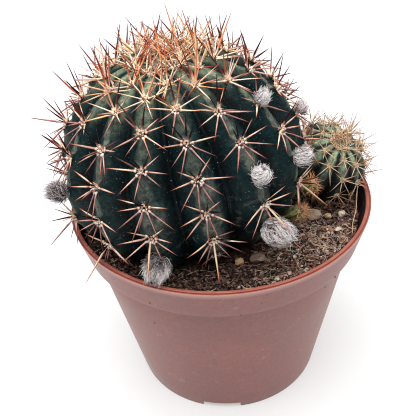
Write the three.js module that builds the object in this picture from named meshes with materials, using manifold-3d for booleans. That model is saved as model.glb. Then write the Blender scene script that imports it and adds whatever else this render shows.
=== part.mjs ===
// A ribbed golden easter lily cactus in a plastic nursery pot, with its offsets, woolly flower
// buds, potting soil and loose stones.
//
// Millimetres, +Z up. The origin is the middle of the flat boss under the pot, on the ground.
// The side that faces -Y is the front. An azimuth is measured round +Z from -Y towards +X.
// Every spine grows from the pad of its areole, and every areole is fused to the stem it sits on.

import * as THREE from "three";
import { mergeVertices } from "three/addons/utils/BufferGeometryUtils.js";
import Module from "manifold-3d";

const wasm = await Module();
wasm.setup();

// Driving dimensions of the pot.
const POT_HEIGHT = 84.3;
const RIM_RADIUS = 60;
const RIM_INNER_RADIUS = 58;
const RIM_BEVEL = 0.7;
const COLLAR_HEIGHT = 13.9;
const COLLAR_FOOT_RADIUS = 56.5;
const COLLAR_WALL = 2;
const BODY_TOP_RADIUS = 53.7;
const BASE_RADIUS = 40;
const BODY_WALL = 1.5;
const FLOOR_UNDERSIDE = 3;
const FLOOR_THICKNESS = 1.6;
const FOOT_RING_INNER_RADIUS = 36.4;
const BOSS_RADIUS = 14;
const BOSS_SLOPE = 1.3;
const DRAIN_HOLES = 6;
const DRAIN_HOLE_RADIUS = 3.5;
const DRAIN_CIRCLE_RADIUS = 26;
const DRAIN_HOLE_SIDES = 8;
const FOOT_NOTCHES = 4;
const FOOT_NOTCH_WIDTH = 16;
const FOOT_NOTCH_HEIGHT = 2.8;
const FOOT_NOTCH_DEPTH = 8;
const FOOT_NOTCH_AZIMUTH = -6;
const POT_SIDES = 40;

// The soil.
const SOIL_LEVEL = 76;
const SOIL_RELIEF = 0.9;
const SOIL_SIDES = 30;
const SOIL_RINGS = [24, 36, 44, 51];
const SEAT_GAP = 0.35;
const FOOT_HOLE_TOP = -15;
const FOOT_HOLE_SIDES = 20;

// Corners closer than this become one.
const MERGE_DISTANCE = 0.001;

// The main stem: a tilted spheroid with fourteen ribs.
// Each rib gives its azimuth, the latitude of the areole nearest its middle, and their spacing.
const MAIN_STEM = {
  name: "main",
  centre: [-13.4, -3.4, 103.3],
  leanX: -7.3,
  leanY: 3,
  radius: 46.4,
  upper: 43.3,
  lower: 36,
  grooveDepth: 6.2,
  crownDip: 2.2,
  crownRadius: 11,
  smoothBelow: -52,
  columnsPerRib: 4,
  latitudes: [-62, -52, -42, -31, -20, -9, 2, 13, 24, 35, 46, 57, 67, 76],
  root: [[9, -38], [5, -46]],
  ribs: [
    [-93.4, -0.5, 16.2],
    [-62.6, -4.6, 17.2],
    [-37.8, -9.3, 16.6],
    [-12.9, 2, 15.7],
    [12.4, -5, 15.6],
    [38.4, 2, 15.7],
    [64.5, -7.2, 16],
    [91.2, 0, 16.4],
    [116.3, -8, 16.2],
    [141.4, 0, 16.2],
    [166.5, -8, 16.2],
    [191.5, 0, 16.2],
    [216.5, -8, 16.2],
    [241.6, 0, 16.2],
  ],
  lowestAreole: -26,
  crowding: 0.86,
  crowdedAbove: 56,
  pad: { radius: 1.9, top: 1.25, height: 0.9, root: 1.2, focus: 0.4 },
  hangingBelow: 30,
  hangingLength: [13, 17],
  radials: 6,
  centrals: 2,
  radialLength: [8.5, 12],
  centralLength: [9, 13],
  crownLength: [11, 19],
};

// The offset beside it, pressed against its flank, on a root of its own.
const OFFSET_STEM = {
  name: "offset",
  centre: [42.8, 6.2, 92.2],
  leanX: 18,
  leanY: 26,
  radius: 16.4,
  upper: 15.5,
  lower: 13.5,
  grooveDepth: 1.9,
  crownDip: 0.8,
  crownRadius: 4,
  smoothBelow: -70,
  columnsPerRib: 2,
  latitudes: [-72, -54, -36, -18, 0, 18, 36, 54, 72],
  root: [[4.6, -16], [3.4, -24]],
  ribs: Array.from({ length: 11 }, (_, i) => [-155 + (i * 360) / 11, i % 2 ? 7 : -6, 28]),
  lowestAreole: -25,
  crowding: 0.8,
  crowdedAbove: 50,
  pad: { radius: 1.15, top: 0.85, height: 0.6, root: 0.85, focus: 0.25 },
  radials: 5,
  centrals: 1,
  hangingBelow: -90,
  hangingLength: [6, 8.5],
  radialLength: [5, 7.5],
  centralLength: [6, 8.5],
  crownLength: [6, 9],
};

// Two young offsets that sprout from the lower flank of the main stem.
function youngStem(name, centre, leanX, leanY, radius, upper, lower, root) {
  return {
    name,
    centre,
    leanX,
    leanY,
    radius,
    upper,
    lower,
    grooveDepth: 0.45,
    crownDip: 0.1,
    crownRadius: 0.8,
    smoothBelow: -80,
    columnsPerRib: 2,
    latitudes: [-60, -30, 0, 30, 60],
    root,
    ribs: Array.from({ length: 6 }, (_, i) => [i * 60, i % 2 ? 2 : 24, 40]),
    lowestAreole: 0,
    crowding: 0.8,
    crowdedAbove: 45,
    pad: { radius: 0.62, top: 0.5, height: 0.35, root: 0.5, focus: 0.15 },
    radials: 4,
    centrals: 0,
    hangingBelow: -90,
    hangingLength: [3, 4.6],
    radialLength: [2.6, 4],
    centralLength: [3, 4.6],
    crownLength: [3.2, 5],
  };
}

const SMALL_OFFSET_UPPER = youngStem(
  "small_upper", [33.9, -10.6, 92.4], 30, 22, 3.4, 3.5, 4.6, [[2.2, -5.4], [1.5, -7]]);
const SMALL_OFFSET_LOWER = youngStem(
  "small_lower", [28.1, -21.3, 88], 55, 26, 3, 3.6, 4.4, [[2.4, -6], [1.8, -8]]);

// Woolly flower buds on the main stem: rib, which areole of it counted from the one nearest the
// middle, the way the bud points (sideways, up the rib, outwards), its length and its width.
const WOOL_BUDS = [
  { rib: 5, areole: 1, points: [0, 0.75, 1], length: 7.4, width: 6.4 },
  { rib: 6, areole: 1, points: [0.5, 0.7, 1], length: 7, width: 5.8 },
  { rib: 5, areole: -1, points: [0.75, -0.1, 1], length: 12, width: 8.6 },
  { rib: 3, areole: -1, points: [-0.1, -0.1, 1], length: 9.6, width: 8.6 },
  { rib: 1, areole: 1, points: [-0.6, -0.1, 1], length: 8, width: 6.6 },
  { rib: 6, areole: 3, points: [-0.1, 0.5, 1], length: 6.4, width: 5 },
  { rib: 7, areole: 1, points: [0.1, 0.8, 0.7], length: 5.2, width: 4.2 },
];
const BUD_TUFT_LENGTH = 2.4;

// A bud sits this share of its width above its pad, and narrows by this share to its tip. Its
// tufts point away from a focus this share of its length behind its middle.
const BUD_SEAT_SHARE = 0.35;
const BUD_TAPER = 0.18;
const BUD_FOCUS_SHARE = 0.3;
const BUD_CLEARANCE = 1.9;

// Loose stones on the soil: place, length, width and height, and the way the long side turns.
const STONES = [
  { at: [37.2, -8.6], size: [6.4, 4.8, 4.6], turn: 20 },
  { at: [42.6, -9.4], size: [3.2, 2.4, 2], turn: -10 },
  { at: [48.2, -8.4], size: [3.6, 2.6, 2.2], turn: 35 },
  { at: [5.8, -34.6], size: [3.6, 3, 2.4], turn: 0 },
  { at: [12.6, -33.4], size: [5.6, 4, 3], turn: 15 },
];

// A stone's radii vary by this share, and its middle lies this share of its height above the soil.
const STONE_UNEVEN = 0.3;
const STONE_RAISED = 0.16;

// Areoles stop at this latitude, short of the crown's middle.
const CROWN_EDGE = 84;

// Past the crowded latitude each gap between areoles is this share of the one below it.
const CROWN_GAP_SHARE = 0.68;

// Areoles shrink by this share towards the crown.
const CROWN_SHRINK = 0.35;

// A spine starts this share of its pad's radius away from the pad's focus.
const PAD_REACH = 1.2;

// How far spines rise out of the surface, in degrees: the ring of radials, which stand up more
// near the crown, the upright central and the lower central.
const RADIAL_RISE = [12, 26];
const CROWN_RISE = 12;
const RADIAL_STEEPEST = 40;
const RADIAL_SPREAD = 12;
const CENTRAL_RISE = [58, 78];
const CENTRAL_SPREAD = 24;
const HANGING_RISE = 50;
const LOWER_CENTRAL_RISE = 60;
const LOWER_CENTRAL_SPREAD = 16;
const CENTRAL_STEEPEST = 84;

// A spine that would cross something is tried again, steeper and shorter each time.
const TRIES = 6;
const STEEPER_BY = 7;
const SHORTER_BY = 0.09;

// Spines keep these distances from the pot, the soil and the spines of other areoles.
const SPINE_CLEARANCE = 0.9;
const RIM_CLEARANCE = 2.2;
const SOIL_CLEARANCE = 0.5;
const PAD_CLEARANCE = 2.4;
const SPINE_SPACING = 1.1;
const SPINE_STEPS = 12;

const rad = THREE.MathUtils.degToRad;
const up = new THREE.Vector3(0, 0, 1);

// A repeatable draw between 0 and 1 from up to three whole numbers.
function draw(a, b = 0, c = 0) {
  const value = Math.sin(a * 12.9898 + b * 78.233 + c * 37.719 + 4.1) * 43758.5453;
  return value - Math.floor(value);
}

function between(range, share) {
  return range[0] + (range[1] - range[0]) * share;
}

function smoothStep(low, high, value) {
  const t = Math.min(1, Math.max(0, (value - low) / (high - low)));
  return t * t * (3 - 2 * t);
}

// Turns points and triangles into a solid, and a solid back into a geometry.
function solidFromTriangles(points, triangles) {
  const vertProperties = new Float32Array(points.flatMap((p) => [p.x, p.y, p.z]));
  const triVerts = new Uint32Array(triangles.flat());
  return new wasm.Manifold(new wasm.Mesh({ numProp: 3, vertProperties, triVerts }));
}

function solidFromGeometry(geometry) {
  geometry.deleteAttribute("normal");
  geometry.deleteAttribute("uv");
  const merged = mergeVertices(geometry, 1e-4);
  return solidFromMerged(merged);
}

function solidFromMerged(merged) {
  return new wasm.Manifold(new wasm.Mesh({
    numProp: 3,
    vertProperties: new Float32Array(merged.attributes.position.array),
    triVerts: new Uint32Array(merged.index.array),
  }));
}

function geometryFromSolid(solid) {
  const mesh = solid.getMesh();
  const geometry = new THREE.BufferGeometry();
  geometry.setAttribute("position", new THREE.BufferAttribute(mesh.vertProperties, 3));
  geometry.setIndex(new THREE.BufferAttribute(mesh.triVerts, 1));
  return geometry;
}

// Joins corners that nearly touch and keeps the largest shell, which drops
// loose scraps and fills sealed hollows.
function largestPiece(solid) {
  const merged = mergeVertices(geometryFromSolid(solid).toNonIndexed(), MERGE_DISTANCE);
  const pieces = solidFromMerged(merged).decompose();
  const largest = pieces.reduce((best, piece) => (piece.volume() > best.volume() ? piece : best));
  return pieces.length === 1 ? largest : largestPiece(largest);
}

// The frame of a stem: its own upright axis leans with the stem.
function stemTurn(stem) {
  const aboutY = new THREE.Matrix4().makeRotationY(rad(stem.leanX));
  const aboutX = new THREE.Matrix4().makeRotationX(rad(stem.leanY));
  return new THREE.Matrix4().multiplyMatrices(aboutX, aboutY);
}

function placeOnStem(stem, local) {
  const turned = local.clone().applyMatrix4(stemTurn(stem));
  return turned.add(new THREE.Vector3(...stem.centre));
}

// How far an azimuth lies from the nearest rib's crest: 0 on the crest, 1 in the groove.
function grooveShare(stem, azimuth) {
  const crests = stem.ribs.map((rib) => rib[0]).sort((a, b) => a - b);
  const count = crests.length;
  for (let i = 0; i < count; i += 1) {
    const here = crests[i];
    const next = i + 1 < count ? crests[i + 1] : crests[0] + 360;
    const ahead = (((azimuth - here) % 360) + 360) % 360;
    if (ahead <= next - here) {
      const share = ahead / (next - here);
      return 1 - Math.abs(2 * share - 1);
    }
  }
  return 0;
}

// A point of a stem's surface, pushed out by lift, in the stem's own frame.
function stemLocal(stem, azimuth, latitude, lift = 0) {
  const f = rad(latitude);
  const half = latitude > 0 ? stem.upper : stem.lower;
  const fade = smoothStep(stem.smoothBelow, stem.smoothBelow + 12, latitude);
  const depth = stem.grooveDepth * Math.cos(f) ** 0.85 * fade;
  const share = grooveShare(stem, azimuth);
  const across = (stem.radius + lift) * Math.cos(f) - depth * share ** 1.6;
  const nearAxis = Math.max(0, 1 - (across / stem.crownRadius) ** 2);
  const dip = latitude > 0 ? stem.crownDip * nearAxis : 0;
  const t = rad(azimuth);
  return new THREE.Vector3(
    across * Math.sin(t), -across * Math.cos(t), (half + lift) * Math.sin(f) - dip);
}

function stemPoint(stem, azimuth, latitude, lift = 0) {
  return placeOnStem(stem, stemLocal(stem, azimuth, latitude, lift));
}

// The azimuths of a stem's mesh columns: each rib's crest, its flanks and its groove.
function stemColumns(stem) {
  const crests = stem.ribs.map((rib) => rib[0]).sort((a, b) => a - b);
  return crests.flatMap((here, i) => {
    const next = i + 1 < crests.length ? crests[i + 1] : crests[0] + 360;
    return Array.from(
      { length: stem.columnsPerRib }, (_, k) => here + ((next - here) * k) / stem.columnsPerRib);
  });
}

// A closed stem body: crown, ribbed rows, then the smooth foot and root below the soil.
function stemBody(stem, lift = 0) {
  const columns = stemColumns(stem);
  const rows = [...stem.latitudes].reverse().map(
    (latitude) => columns.map((azimuth) => stemPoint(stem, azimuth, latitude, lift)));
  stem.root.forEach(([radius, height]) => rows.push(columns.map((azimuth) => {
    const t = rad(azimuth);
    const across = radius + lift;
    const local = new THREE.Vector3(across * Math.sin(t), -across * Math.cos(t), height);
    return placeOnStem(stem, local);
  })));
  const rootEnd = stem.root[stem.root.length - 1][1] - lift;
  const points = [
    placeOnStem(stem, new THREE.Vector3(0, 0, stem.upper + lift - stem.crownDip)),
    placeOnStem(stem, new THREE.Vector3(0, 0, rootEnd)),
    ...rows.flat(),
  ];
  const count = columns.length;
  const at = (row, column) => 2 + row * count + (column % count);
  const triangles = [];
  for (let i = 0; i < count; i += 1) {
    triangles.push([0, at(0, i), at(0, i + 1)]);
    triangles.push([1, at(rows.length - 1, i + 1), at(rows.length - 1, i)]);
    for (let row = 0; row + 1 < rows.length; row += 1) {
      triangles.push([at(row, i), at(row + 1, i), at(row + 1, i + 1)]);
      triangles.push([at(row, i), at(row + 1, i + 1), at(row, i + 1)]);
    }
  }
  return solidFromTriangles(points, triangles);
}

// The latitudes of a rib's areoles, which crowd together towards the crown.
function areoleLatitudes(stem, rib) {
  const [, middle, spacing] = rib;
  const rows = [];
  let index = Math.ceil((stem.lowestAreole - middle) / spacing);
  let latitude = middle + index * spacing;
  let gap = spacing;
  while (latitude < CROWN_EDGE) {
    rows.push({ index, latitude });
    if (latitude > stem.crowdedAbove) {
      gap *= gap === spacing ? stem.crowding : CROWN_GAP_SHARE;
    }
    latitude += gap;
    index += 1;
  }
  return rows;
}

// The frame of an areole: where it is, outwards, up the rib and sideways.
function areoleFrame(stem, azimuth, latitude) {
  const place = stemPoint(stem, azimuth, latitude);
  const above = stemPoint(stem, azimuth, latitude + 1);
  const below = stemPoint(stem, azimuth, latitude - 1);
  const along = above.sub(below).normalize();
  const axis = placeOnStem(stem, up).sub(placeOnStem(stem, new THREE.Vector3())).normalize();
  const fromAxis = place.clone().sub(new THREE.Vector3(...stem.centre));
  fromAxis.addScaledVector(axis, -fromAxis.dot(axis));
  const side = new THREE.Vector3().crossVectors(axis, fromAxis).normalize();
  const out = new THREE.Vector3().crossVectors(side, along).normalize();
  return { place, out, along, side };
}

// The pot, turned about its axis, with foot notches and drain holes cut in it.
function potSolid() {
  const floorTop = FLOOR_UNDERSIDE + FLOOR_THICKNESS;
  const collarFoot = POT_HEIGHT - COLLAR_HEIGHT;
  const profile = [
    [0, 0],
    [BOSS_RADIUS, 0],
    [BOSS_RADIUS + BOSS_SLOPE, FLOOR_UNDERSIDE],
    [FOOT_RING_INNER_RADIUS - BOSS_SLOPE, FLOOR_UNDERSIDE],
    [FOOT_RING_INNER_RADIUS, 0],
    [BASE_RADIUS, 0],
    [BODY_TOP_RADIUS, collarFoot],
    [COLLAR_FOOT_RADIUS, collarFoot],
    [RIM_RADIUS, POT_HEIGHT - RIM_BEVEL],
    [RIM_RADIUS - RIM_BEVEL, POT_HEIGHT],
    [RIM_INNER_RADIUS, POT_HEIGHT],
    [COLLAR_FOOT_RADIUS - COLLAR_WALL, collarFoot],
    [BODY_TOP_RADIUS - BODY_WALL, collarFoot - BODY_WALL],
    [innerWallRadius(floorTop), floorTop],
    [BOSS_RADIUS - FLOOR_THICKNESS, floorTop],
    [BOSS_RADIUS - FLOOR_THICKNESS - BOSS_SLOPE, FLOOR_THICKNESS],
    [0, FLOOR_THICKNESS],
  ];
  let pot = latheSolid(profile, POT_SIDES);
  for (let i = 0; i < DRAIN_HOLES; i += 1) {
    const angle = rad((360 * (i + 0.5)) / DRAIN_HOLES);
    const hole = new THREE.CylinderGeometry(
      DRAIN_HOLE_RADIUS, DRAIN_HOLE_RADIUS, 4 * FLOOR_THICKNESS, DRAIN_HOLE_SIDES);
    hole.rotateX(Math.PI / 2);
    hole.translate(
      DRAIN_CIRCLE_RADIUS * Math.cos(angle), DRAIN_CIRCLE_RADIUS * Math.sin(angle), floorTop);
    pot = pot.subtract(solidFromGeometry(hole));
  }
  for (let i = 0; i < FOOT_NOTCHES; i += 1) {
    const notch = new THREE.BoxGeometry(
      FOOT_NOTCH_WIDTH, FOOT_NOTCH_DEPTH, 2 * FOOT_NOTCH_HEIGHT);
    notch.translate(0, -BASE_RADIUS + 1, 0);
    notch.rotateZ(rad(FOOT_NOTCH_AZIMUTH + (360 * i) / FOOT_NOTCHES));
    pot = pot.subtract(solidFromGeometry(notch));
  }
  return pot;
}

// The inner face of the pot's tapered body at a height.
function innerWallRadius(height) {
  const collarFoot = POT_HEIGHT - COLLAR_HEIGHT;
  const taper = (BODY_TOP_RADIUS - BASE_RADIUS) / collarFoot;
  return BASE_RADIUS + taper * height - BODY_WALL;
}

function latheSolid(profile, sides) {
  const points = profile.map(([radius, height]) => new THREE.Vector2(radius, height));
  const lathe = new THREE.LatheGeometry(points, sides);
  lathe.rotateX(Math.PI / 2);
  return solidFromGeometry(lathe);
}

// The soil: a plug with an uneven top, with plain holes for the stems and dents for the stones.
function soilSolid(cutters) {
  const floorTop = FLOOR_UNDERSIDE + FLOOR_THICKNESS;
  const collarFoot = POT_HEIGHT - COLLAR_HEIGHT;
  const wallSlope = (RIM_INNER_RADIUS - COLLAR_FOOT_RADIUS + COLLAR_WALL) / COLLAR_HEIGHT;
  const edge = COLLAR_FOOT_RADIUS - COLLAR_WALL + wallSlope * (SOIL_LEVEL - collarFoot);
  const outside = [
    [edge - SEAT_GAP, SOIL_LEVEL],
    [COLLAR_FOOT_RADIUS - COLLAR_WALL - SEAT_GAP, collarFoot + SEAT_GAP],
    [BODY_TOP_RADIUS - BODY_WALL - SEAT_GAP, collarFoot - BODY_WALL],
    [innerWallRadius(floorTop) - SEAT_GAP, floorTop + SEAT_GAP],
    [BOSS_RADIUS - FLOOR_THICKNESS - SEAT_GAP, floorTop + SEAT_GAP],
    [BOSS_RADIUS - FLOOR_THICKNESS - BOSS_SLOPE - SEAT_GAP, FLOOR_THICKNESS + SEAT_GAP],
  ];
  const rings = SOIL_RINGS.map((radius) => [radius, SOIL_LEVEL]);
  const profile = [...rings, ...outside];
  const points = [new THREE.Vector3(0, 0, SOIL_LEVEL)];
  profile.forEach(([radius, height], row) => {
    for (let i = 0; i < SOIL_SIDES; i += 1) {
      const angle = (2 * Math.PI * i) / SOIL_SIDES;
      const bump = row <= SOIL_RINGS.length ? SOIL_RELIEF * (draw(row, i, 7) - 0.5) : 0;
      points.push(new THREE.Vector3(
        radius * Math.cos(angle), radius * Math.sin(angle), height + bump));
    }
  });
  points.push(new THREE.Vector3(0, 0, FLOOR_THICKNESS + SEAT_GAP));
  const last = points.length - 1;
  const at = (row, i) => 1 + row * SOIL_SIDES + (i % SOIL_SIDES);
  const triangles = [];
  for (let i = 0; i < SOIL_SIDES; i += 1) {
    triangles.push([0, at(0, i), at(0, i + 1)]);
    triangles.push([last, at(profile.length - 1, i + 1), at(profile.length - 1, i)]);
    for (let row = 0; row + 1 < profile.length; row += 1) {
      triangles.push([at(row, i), at(row + 1, i), at(row + 1, i + 1)]);
      triangles.push([at(row, i), at(row + 1, i + 1), at(row, i + 1)]);
    }
  }
  const plug = solidFromTriangles(points, triangles);
  return largestPiece(cutters.reduce((soil, cutter) => soil.subtract(cutter), plug));
}

// A plain hole for a stem's foot: its smooth lower half and root, a seat gap larger.
function footHole(stem) {
  const profile = [[0, 0]];
  const buried = [...stem.latitudes].filter((latitude) => latitude <= FOOT_HOLE_TOP).reverse();
  buried.forEach((latitude) => {
    const f = rad(latitude);
    profile.push([
      (stem.radius + SEAT_GAP) * Math.cos(f), (stem.lower + SEAT_GAP) * Math.sin(f)]);
  });
  stem.root.forEach(([radius, height]) => profile.push([radius + SEAT_GAP, height]));
  const rootEnd = stem.root[stem.root.length - 1];
  profile.push([rootEnd[0] + SEAT_GAP, rootEnd[1] - SEAT_GAP]);
  profile.push([0, rootEnd[1] - SEAT_GAP]);
  profile[0][1] = profile[1][1];
  // The hole's flat sides, not its corners, keep the gap.
  const widen = 1 / Math.cos(Math.PI / FOOT_HOLE_SIDES);
  const points = profile.map(([radius, height]) => new THREE.Vector2(radius * widen, height));
  const lathe = new THREE.LatheGeometry(points.reverse(), FOOT_HOLE_SIDES);
  lathe.rotateX(Math.PI / 2);
  lathe.applyMatrix4(stemTurn(stem));
  lathe.translate(...stem.centre);
  return solidFromGeometry(lathe);
}

// Tests whether a point is inside a stretched ball, given as a centre and a matrix to unit size.
function insideBall(ball, point) {
  return point.clone().sub(ball.centre).applyMatrix3(ball.toUnit).length() < 1;
}

function ballAlong(centre, axis, halfLength, halfWidth) {
  const turn = new THREE.Quaternion().setFromUnitVectors(axis, up);
  const toUnit = new THREE.Matrix4().makeRotationFromQuaternion(turn);
  toUnit.premultiply(new THREE.Matrix4().makeScale(1 / halfWidth, 1 / halfWidth, 1 / halfLength));
  return { centre, toUnit: new THREE.Matrix3().setFromMatrix4(toUnit) };
}

// The nearest distance between two straight spines.
function segmentDistance(a, b) {
  let nearest = Infinity;
  const here = new THREE.Vector3();
  const target = new THREE.Vector3();
  const line = new THREE.Line3(b.root, b.tip);
  for (let i = 0; i <= SPINE_STEPS; i += 1) {
    here.lerpVectors(a.root, a.tip, i / SPINE_STEPS);
    line.closestPointToPoint(here, true, target);
    nearest = Math.min(nearest, here.distanceTo(target));
  }
  return nearest;
}

// What spines keep clear of, filled in as the pieces are placed.
const keptClear = [];
const stemRooms = [];
const placedSpines = [];

function blockedByPot(point) {
  const radius = Math.hypot(point.x, point.y);
  const low = POT_HEIGHT + SPINE_CLEARANCE;
  const overRim = radius > RIM_INNER_RADIUS - RIM_CLEARANCE - SPINE_CLEARANCE
    && radius < RIM_RADIUS + SPINE_CLEARANCE;
  const lowInPot = SOIL_LEVEL + SOIL_CLEARANCE + SPINE_CLEARANCE;
  const inPot = radius < RIM_INNER_RADIUS && point.z < lowInPot;
  return (overRim && point.z < low) || inPot;
}

function spineIsFree(stem, areole, root, tip) {
  const spine = { root, tip };
  for (let i = 1; i <= SPINE_STEPS; i += 1) {
    const point = new THREE.Vector3().lerpVectors(root, tip, i / SPINE_STEPS);
    if (blockedByPot(point)) {
      return false;
    }
    if (keptClear.some((ball) => ball.owner !== stem.name && insideBall(ball, point))) {
      return false;
    }
  }
  return placedSpines.every((other) => (
    other.areole === areole
    || other.middle.distanceTo(root) > other.reach + root.distanceTo(tip)
    || segmentDistance(spine, other) > SPINE_SPACING));
}

// One spine of an areole: tries its own way, then steeper and shorter ones.
function placeSpine(stem, frame, focus, around, rise, steepest, length) {
  for (let attempt = 0; attempt < TRIES; attempt += 1) {
    const lifted = rad(Math.min(steepest, rise + attempt * STEEPER_BY));
    const reach = (length + PAD_REACH * stem.pad.top) * (1 - SHORTER_BY * attempt);
    const direction = new THREE.Vector3()
      .addScaledVector(frame.along, Math.cos(around) * Math.cos(lifted))
      .addScaledVector(frame.side, Math.sin(around) * Math.cos(lifted))
      .addScaledVector(frame.out, Math.sin(lifted));
    const root = focus.clone().addScaledVector(direction, PAD_REACH * stem.pad.top);
    const tip = focus.clone().addScaledVector(direction, reach);
    if (spineIsFree(stem, frame, root, tip)) {
      const middle = root.clone().add(tip).divideScalar(2);
      placedSpines.push({ areole: frame, root, tip, middle, reach: root.distanceTo(tip) });
      return tip;
    }
  }
  return null;
}

// The spines that rise from the top of a pad: face, way round the pad, rise and length.
function centralSpines(stem, seed, latitude, crown) {
  const range = crown > 0.5 ? stem.crownLength : stem.centralLength;
  const upright = {
    face: seed % 2 ? 0 : stem.radials - 1,
    around: (seed % 2 ? 1 : -1) * CENTRAL_SPREAD * draw(seed, 20, 6),
    rise: between(CENTRAL_RISE, draw(seed, 20, 4)),
    length: between(range, draw(seed, 20, 5)),
  };
  const hangs = latitude < stem.hangingBelow;
  const lower = {
    face: Math.floor(stem.radials / 2) - (seed % 2),
    around: 180 + (seed % 2 ? -1 : 1) * LOWER_CENTRAL_SPREAD * draw(seed, 21, 6),
    rise: hangs ? HANGING_RISE : LOWER_CENTRAL_RISE,
    length: between(hangs ? stem.hangingLength : range, draw(seed, 21, 5)),
  };
  return [upright, lower].slice(0, stem.centrals);
}

// An areole: a low pad whose faces are drawn out into spines. Each spine points away from one
// focus inside the pad, through the face it grows from, so no two of them can cross.
function areoleSolid(stem, ribIndex, row, azimuth) {
  const frame = areoleFrame(stem, azimuth, row.latitude);
  const crown = smoothStep(50, CROWN_EDGE, row.latitude);
  const size = 1 - CROWN_SHRINK * crown;
  const sides = stem.radials;
  const points = [];
  const corner = (around, radius, height) => frame.place.clone()
    .addScaledVector(frame.along, Math.cos(around) * radius)
    .addScaledVector(frame.side, Math.sin(around) * radius)
    .addScaledVector(frame.out, height);
  const step = (2 * Math.PI) / sides;
  for (let i = 0; i < sides; i += 1) {
    points.push(corner((i + 0.5) * step, stem.pad.radius * size, -stem.pad.root));
  }
  for (let i = 0; i < sides; i += 1) {
    points.push(corner(i * step, stem.pad.top * size, stem.pad.height));
  }
  points.push(corner(0, 0, stem.pad.height * 1.5));
  points.push(corner(0, 0, -stem.pad.root));
  const top = 2 * sides;
  const bottom = top + 1;
  const triangles = [];
  const drawOut = (face, tip) => {
    if (!tip) {
      triangles.push(face);
      return;
    }
    points.push(tip);
    const apex = points.length - 1;
    triangles.push([face[0], face[1], apex], [face[1], face[2], apex], [face[2], face[0], apex]);
  };
  const focus = corner(0, 0, -stem.pad.focus);
  const seed = ribIndex * 40 + row.index + 20;
  const centrals = centralSpines(stem, seed, row.latitude, crown);
  for (let i = 0; i < sides; i += 1) {
    const low = i;
    const lowNext = (i + 1) % sides;
    const high = sides + i;
    const highNext = sides + lowNext;
    triangles.push([bottom, lowNext, low]);
    triangles.push([low, lowNext, highNext]);
    const around = (i + 0.5) * step + rad(RADIAL_SPREAD * (draw(seed, i, 1) - 0.5));
    const rise = between(RADIAL_RISE, draw(seed, i, 2)) + CROWN_RISE * crown;
    const length = between(stem.radialLength, draw(seed, i, 3));
    const radial = placeSpine(stem, frame, focus, around, rise, RADIAL_STEEPEST, length);
    drawOut([high, low, highNext], radial);
    const central = centrals.find((spine) => spine.face === i);
    const centralTip = central && placeSpine(
      stem, frame, focus, rad(central.around), central.rise, CENTRAL_STEEPEST, central.length);
    drawOut([high, highNext, top], centralTip);
  }
  // The way round the pad runs clockwise as seen from outside, so each face is turned.
  return solidFromTriangles(points, triangles.map(([a, b, c]) => [a, c, b]));
}

// A whole stem: the body with every areole fused to it.
function spinyStem(stem, body) {
  let solid = body;
  stem.ribs.forEach((rib, ribIndex) => {
    areoleLatitudes(stem, rib).forEach((row) => {
      const place = stemPoint(stem, rib[0], row.latitude, stem.pad.height);
      const covered = stemRooms.some(
        (ball) => ball.owner !== stem.name && insideBall(ball, place));
      if (covered || blockedByPot(place)) {
        return;
      }
      solid = solid.add(areoleSolid(stem, ribIndex, row, rib[0]));
    });
  });
  return largestPiece(solid);
}

// A woolly bud: an egg-shaped core whose faces are drawn out into tufts that sweep to its tip.
function budPlace(bud) {
  const rib = MAIN_STEM.ribs[bud.rib];
  const latitude = areoleLatitudes(MAIN_STEM, rib).find((row) => row.index === bud.areole).latitude;
  const frame = areoleFrame(MAIN_STEM, rib[0], latitude);
  const [sideways, along, outwards] = bud.points;
  const axis = new THREE.Vector3()
    .addScaledVector(frame.side, sideways)
    .addScaledVector(frame.along, along)
    .addScaledVector(frame.out, outwards)
    .normalize();
  const lift = MAIN_STEM.pad.height + BUD_SEAT_SHARE * bud.width;
  const centre = frame.place.clone().addScaledVector(frame.out, lift);
  centre.addScaledVector(axis, (bud.length - bud.width) / 2);
  return { centre, axis };
}

function budCore(bud, grow = 0) {
  const { centre, axis } = budPlace(bud);
  const core = new THREE.IcosahedronGeometry(1, 1);
  core.deleteAttribute("normal");
  core.deleteAttribute("uv");
  const merged = mergeVertices(core, 1e-4);
  const turn = new THREE.Quaternion().setFromUnitVectors(up, axis);
  const across = bud.width / 2 - 0.3 + grow;
  const along = bud.length / 2 + grow;
  const position = merged.attributes.position;
  for (let i = 0; i < position.count; i += 1) {
    const v = new THREE.Vector3().fromBufferAttribute(position, i);
    const narrow = 1 - BUD_TAPER * v.z;
    v.set(v.x * across * narrow, v.y * across * narrow, v.z * along).applyQuaternion(turn);
    v.add(centre);
    position.setXYZ(i, v.x, v.y, v.z);
  }
  return merged;
}

function budSolid(bud, index) {
  const { centre, axis } = budPlace(bud);
  const merged = budCore(bud);
  const focus = centre.clone().addScaledVector(axis, -BUD_FOCUS_SHARE * bud.length);
  const position = merged.attributes.position;
  const points = [];
  for (let i = 0; i < position.count; i += 1) {
    points.push(new THREE.Vector3().fromBufferAttribute(position, i));
  }
  const triangles = [];
  for (let i = 0; i < merged.index.count; i += 3) {
    const face = [0, 1, 2].map((k) => merged.index.getX(i + k));
    const middle = face.reduce((sum, k) => sum.add(points[k]), new THREE.Vector3())
      .divideScalar(3);
    const outwards = middle.clone().sub(focus).normalize();
    const tufted = (i / 3) % 2 === 0 && outwards.dot(axis) > -0.2;
    if (!tufted) {
      triangles.push(face);
      continue;
    }
    const length = BUD_TUFT_LENGTH * (0.6 + 0.6 * draw(index, i, 9)) * (bud.width / 8);
    points.push(middle.addScaledVector(outwards, length));
    const tip = points.length - 1;
    triangles.push([face[0], face[1], tip], [face[1], face[2], tip], [face[2], face[0], tip]);
  }
  return solidFromTriangles(points, triangles);
}

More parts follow.
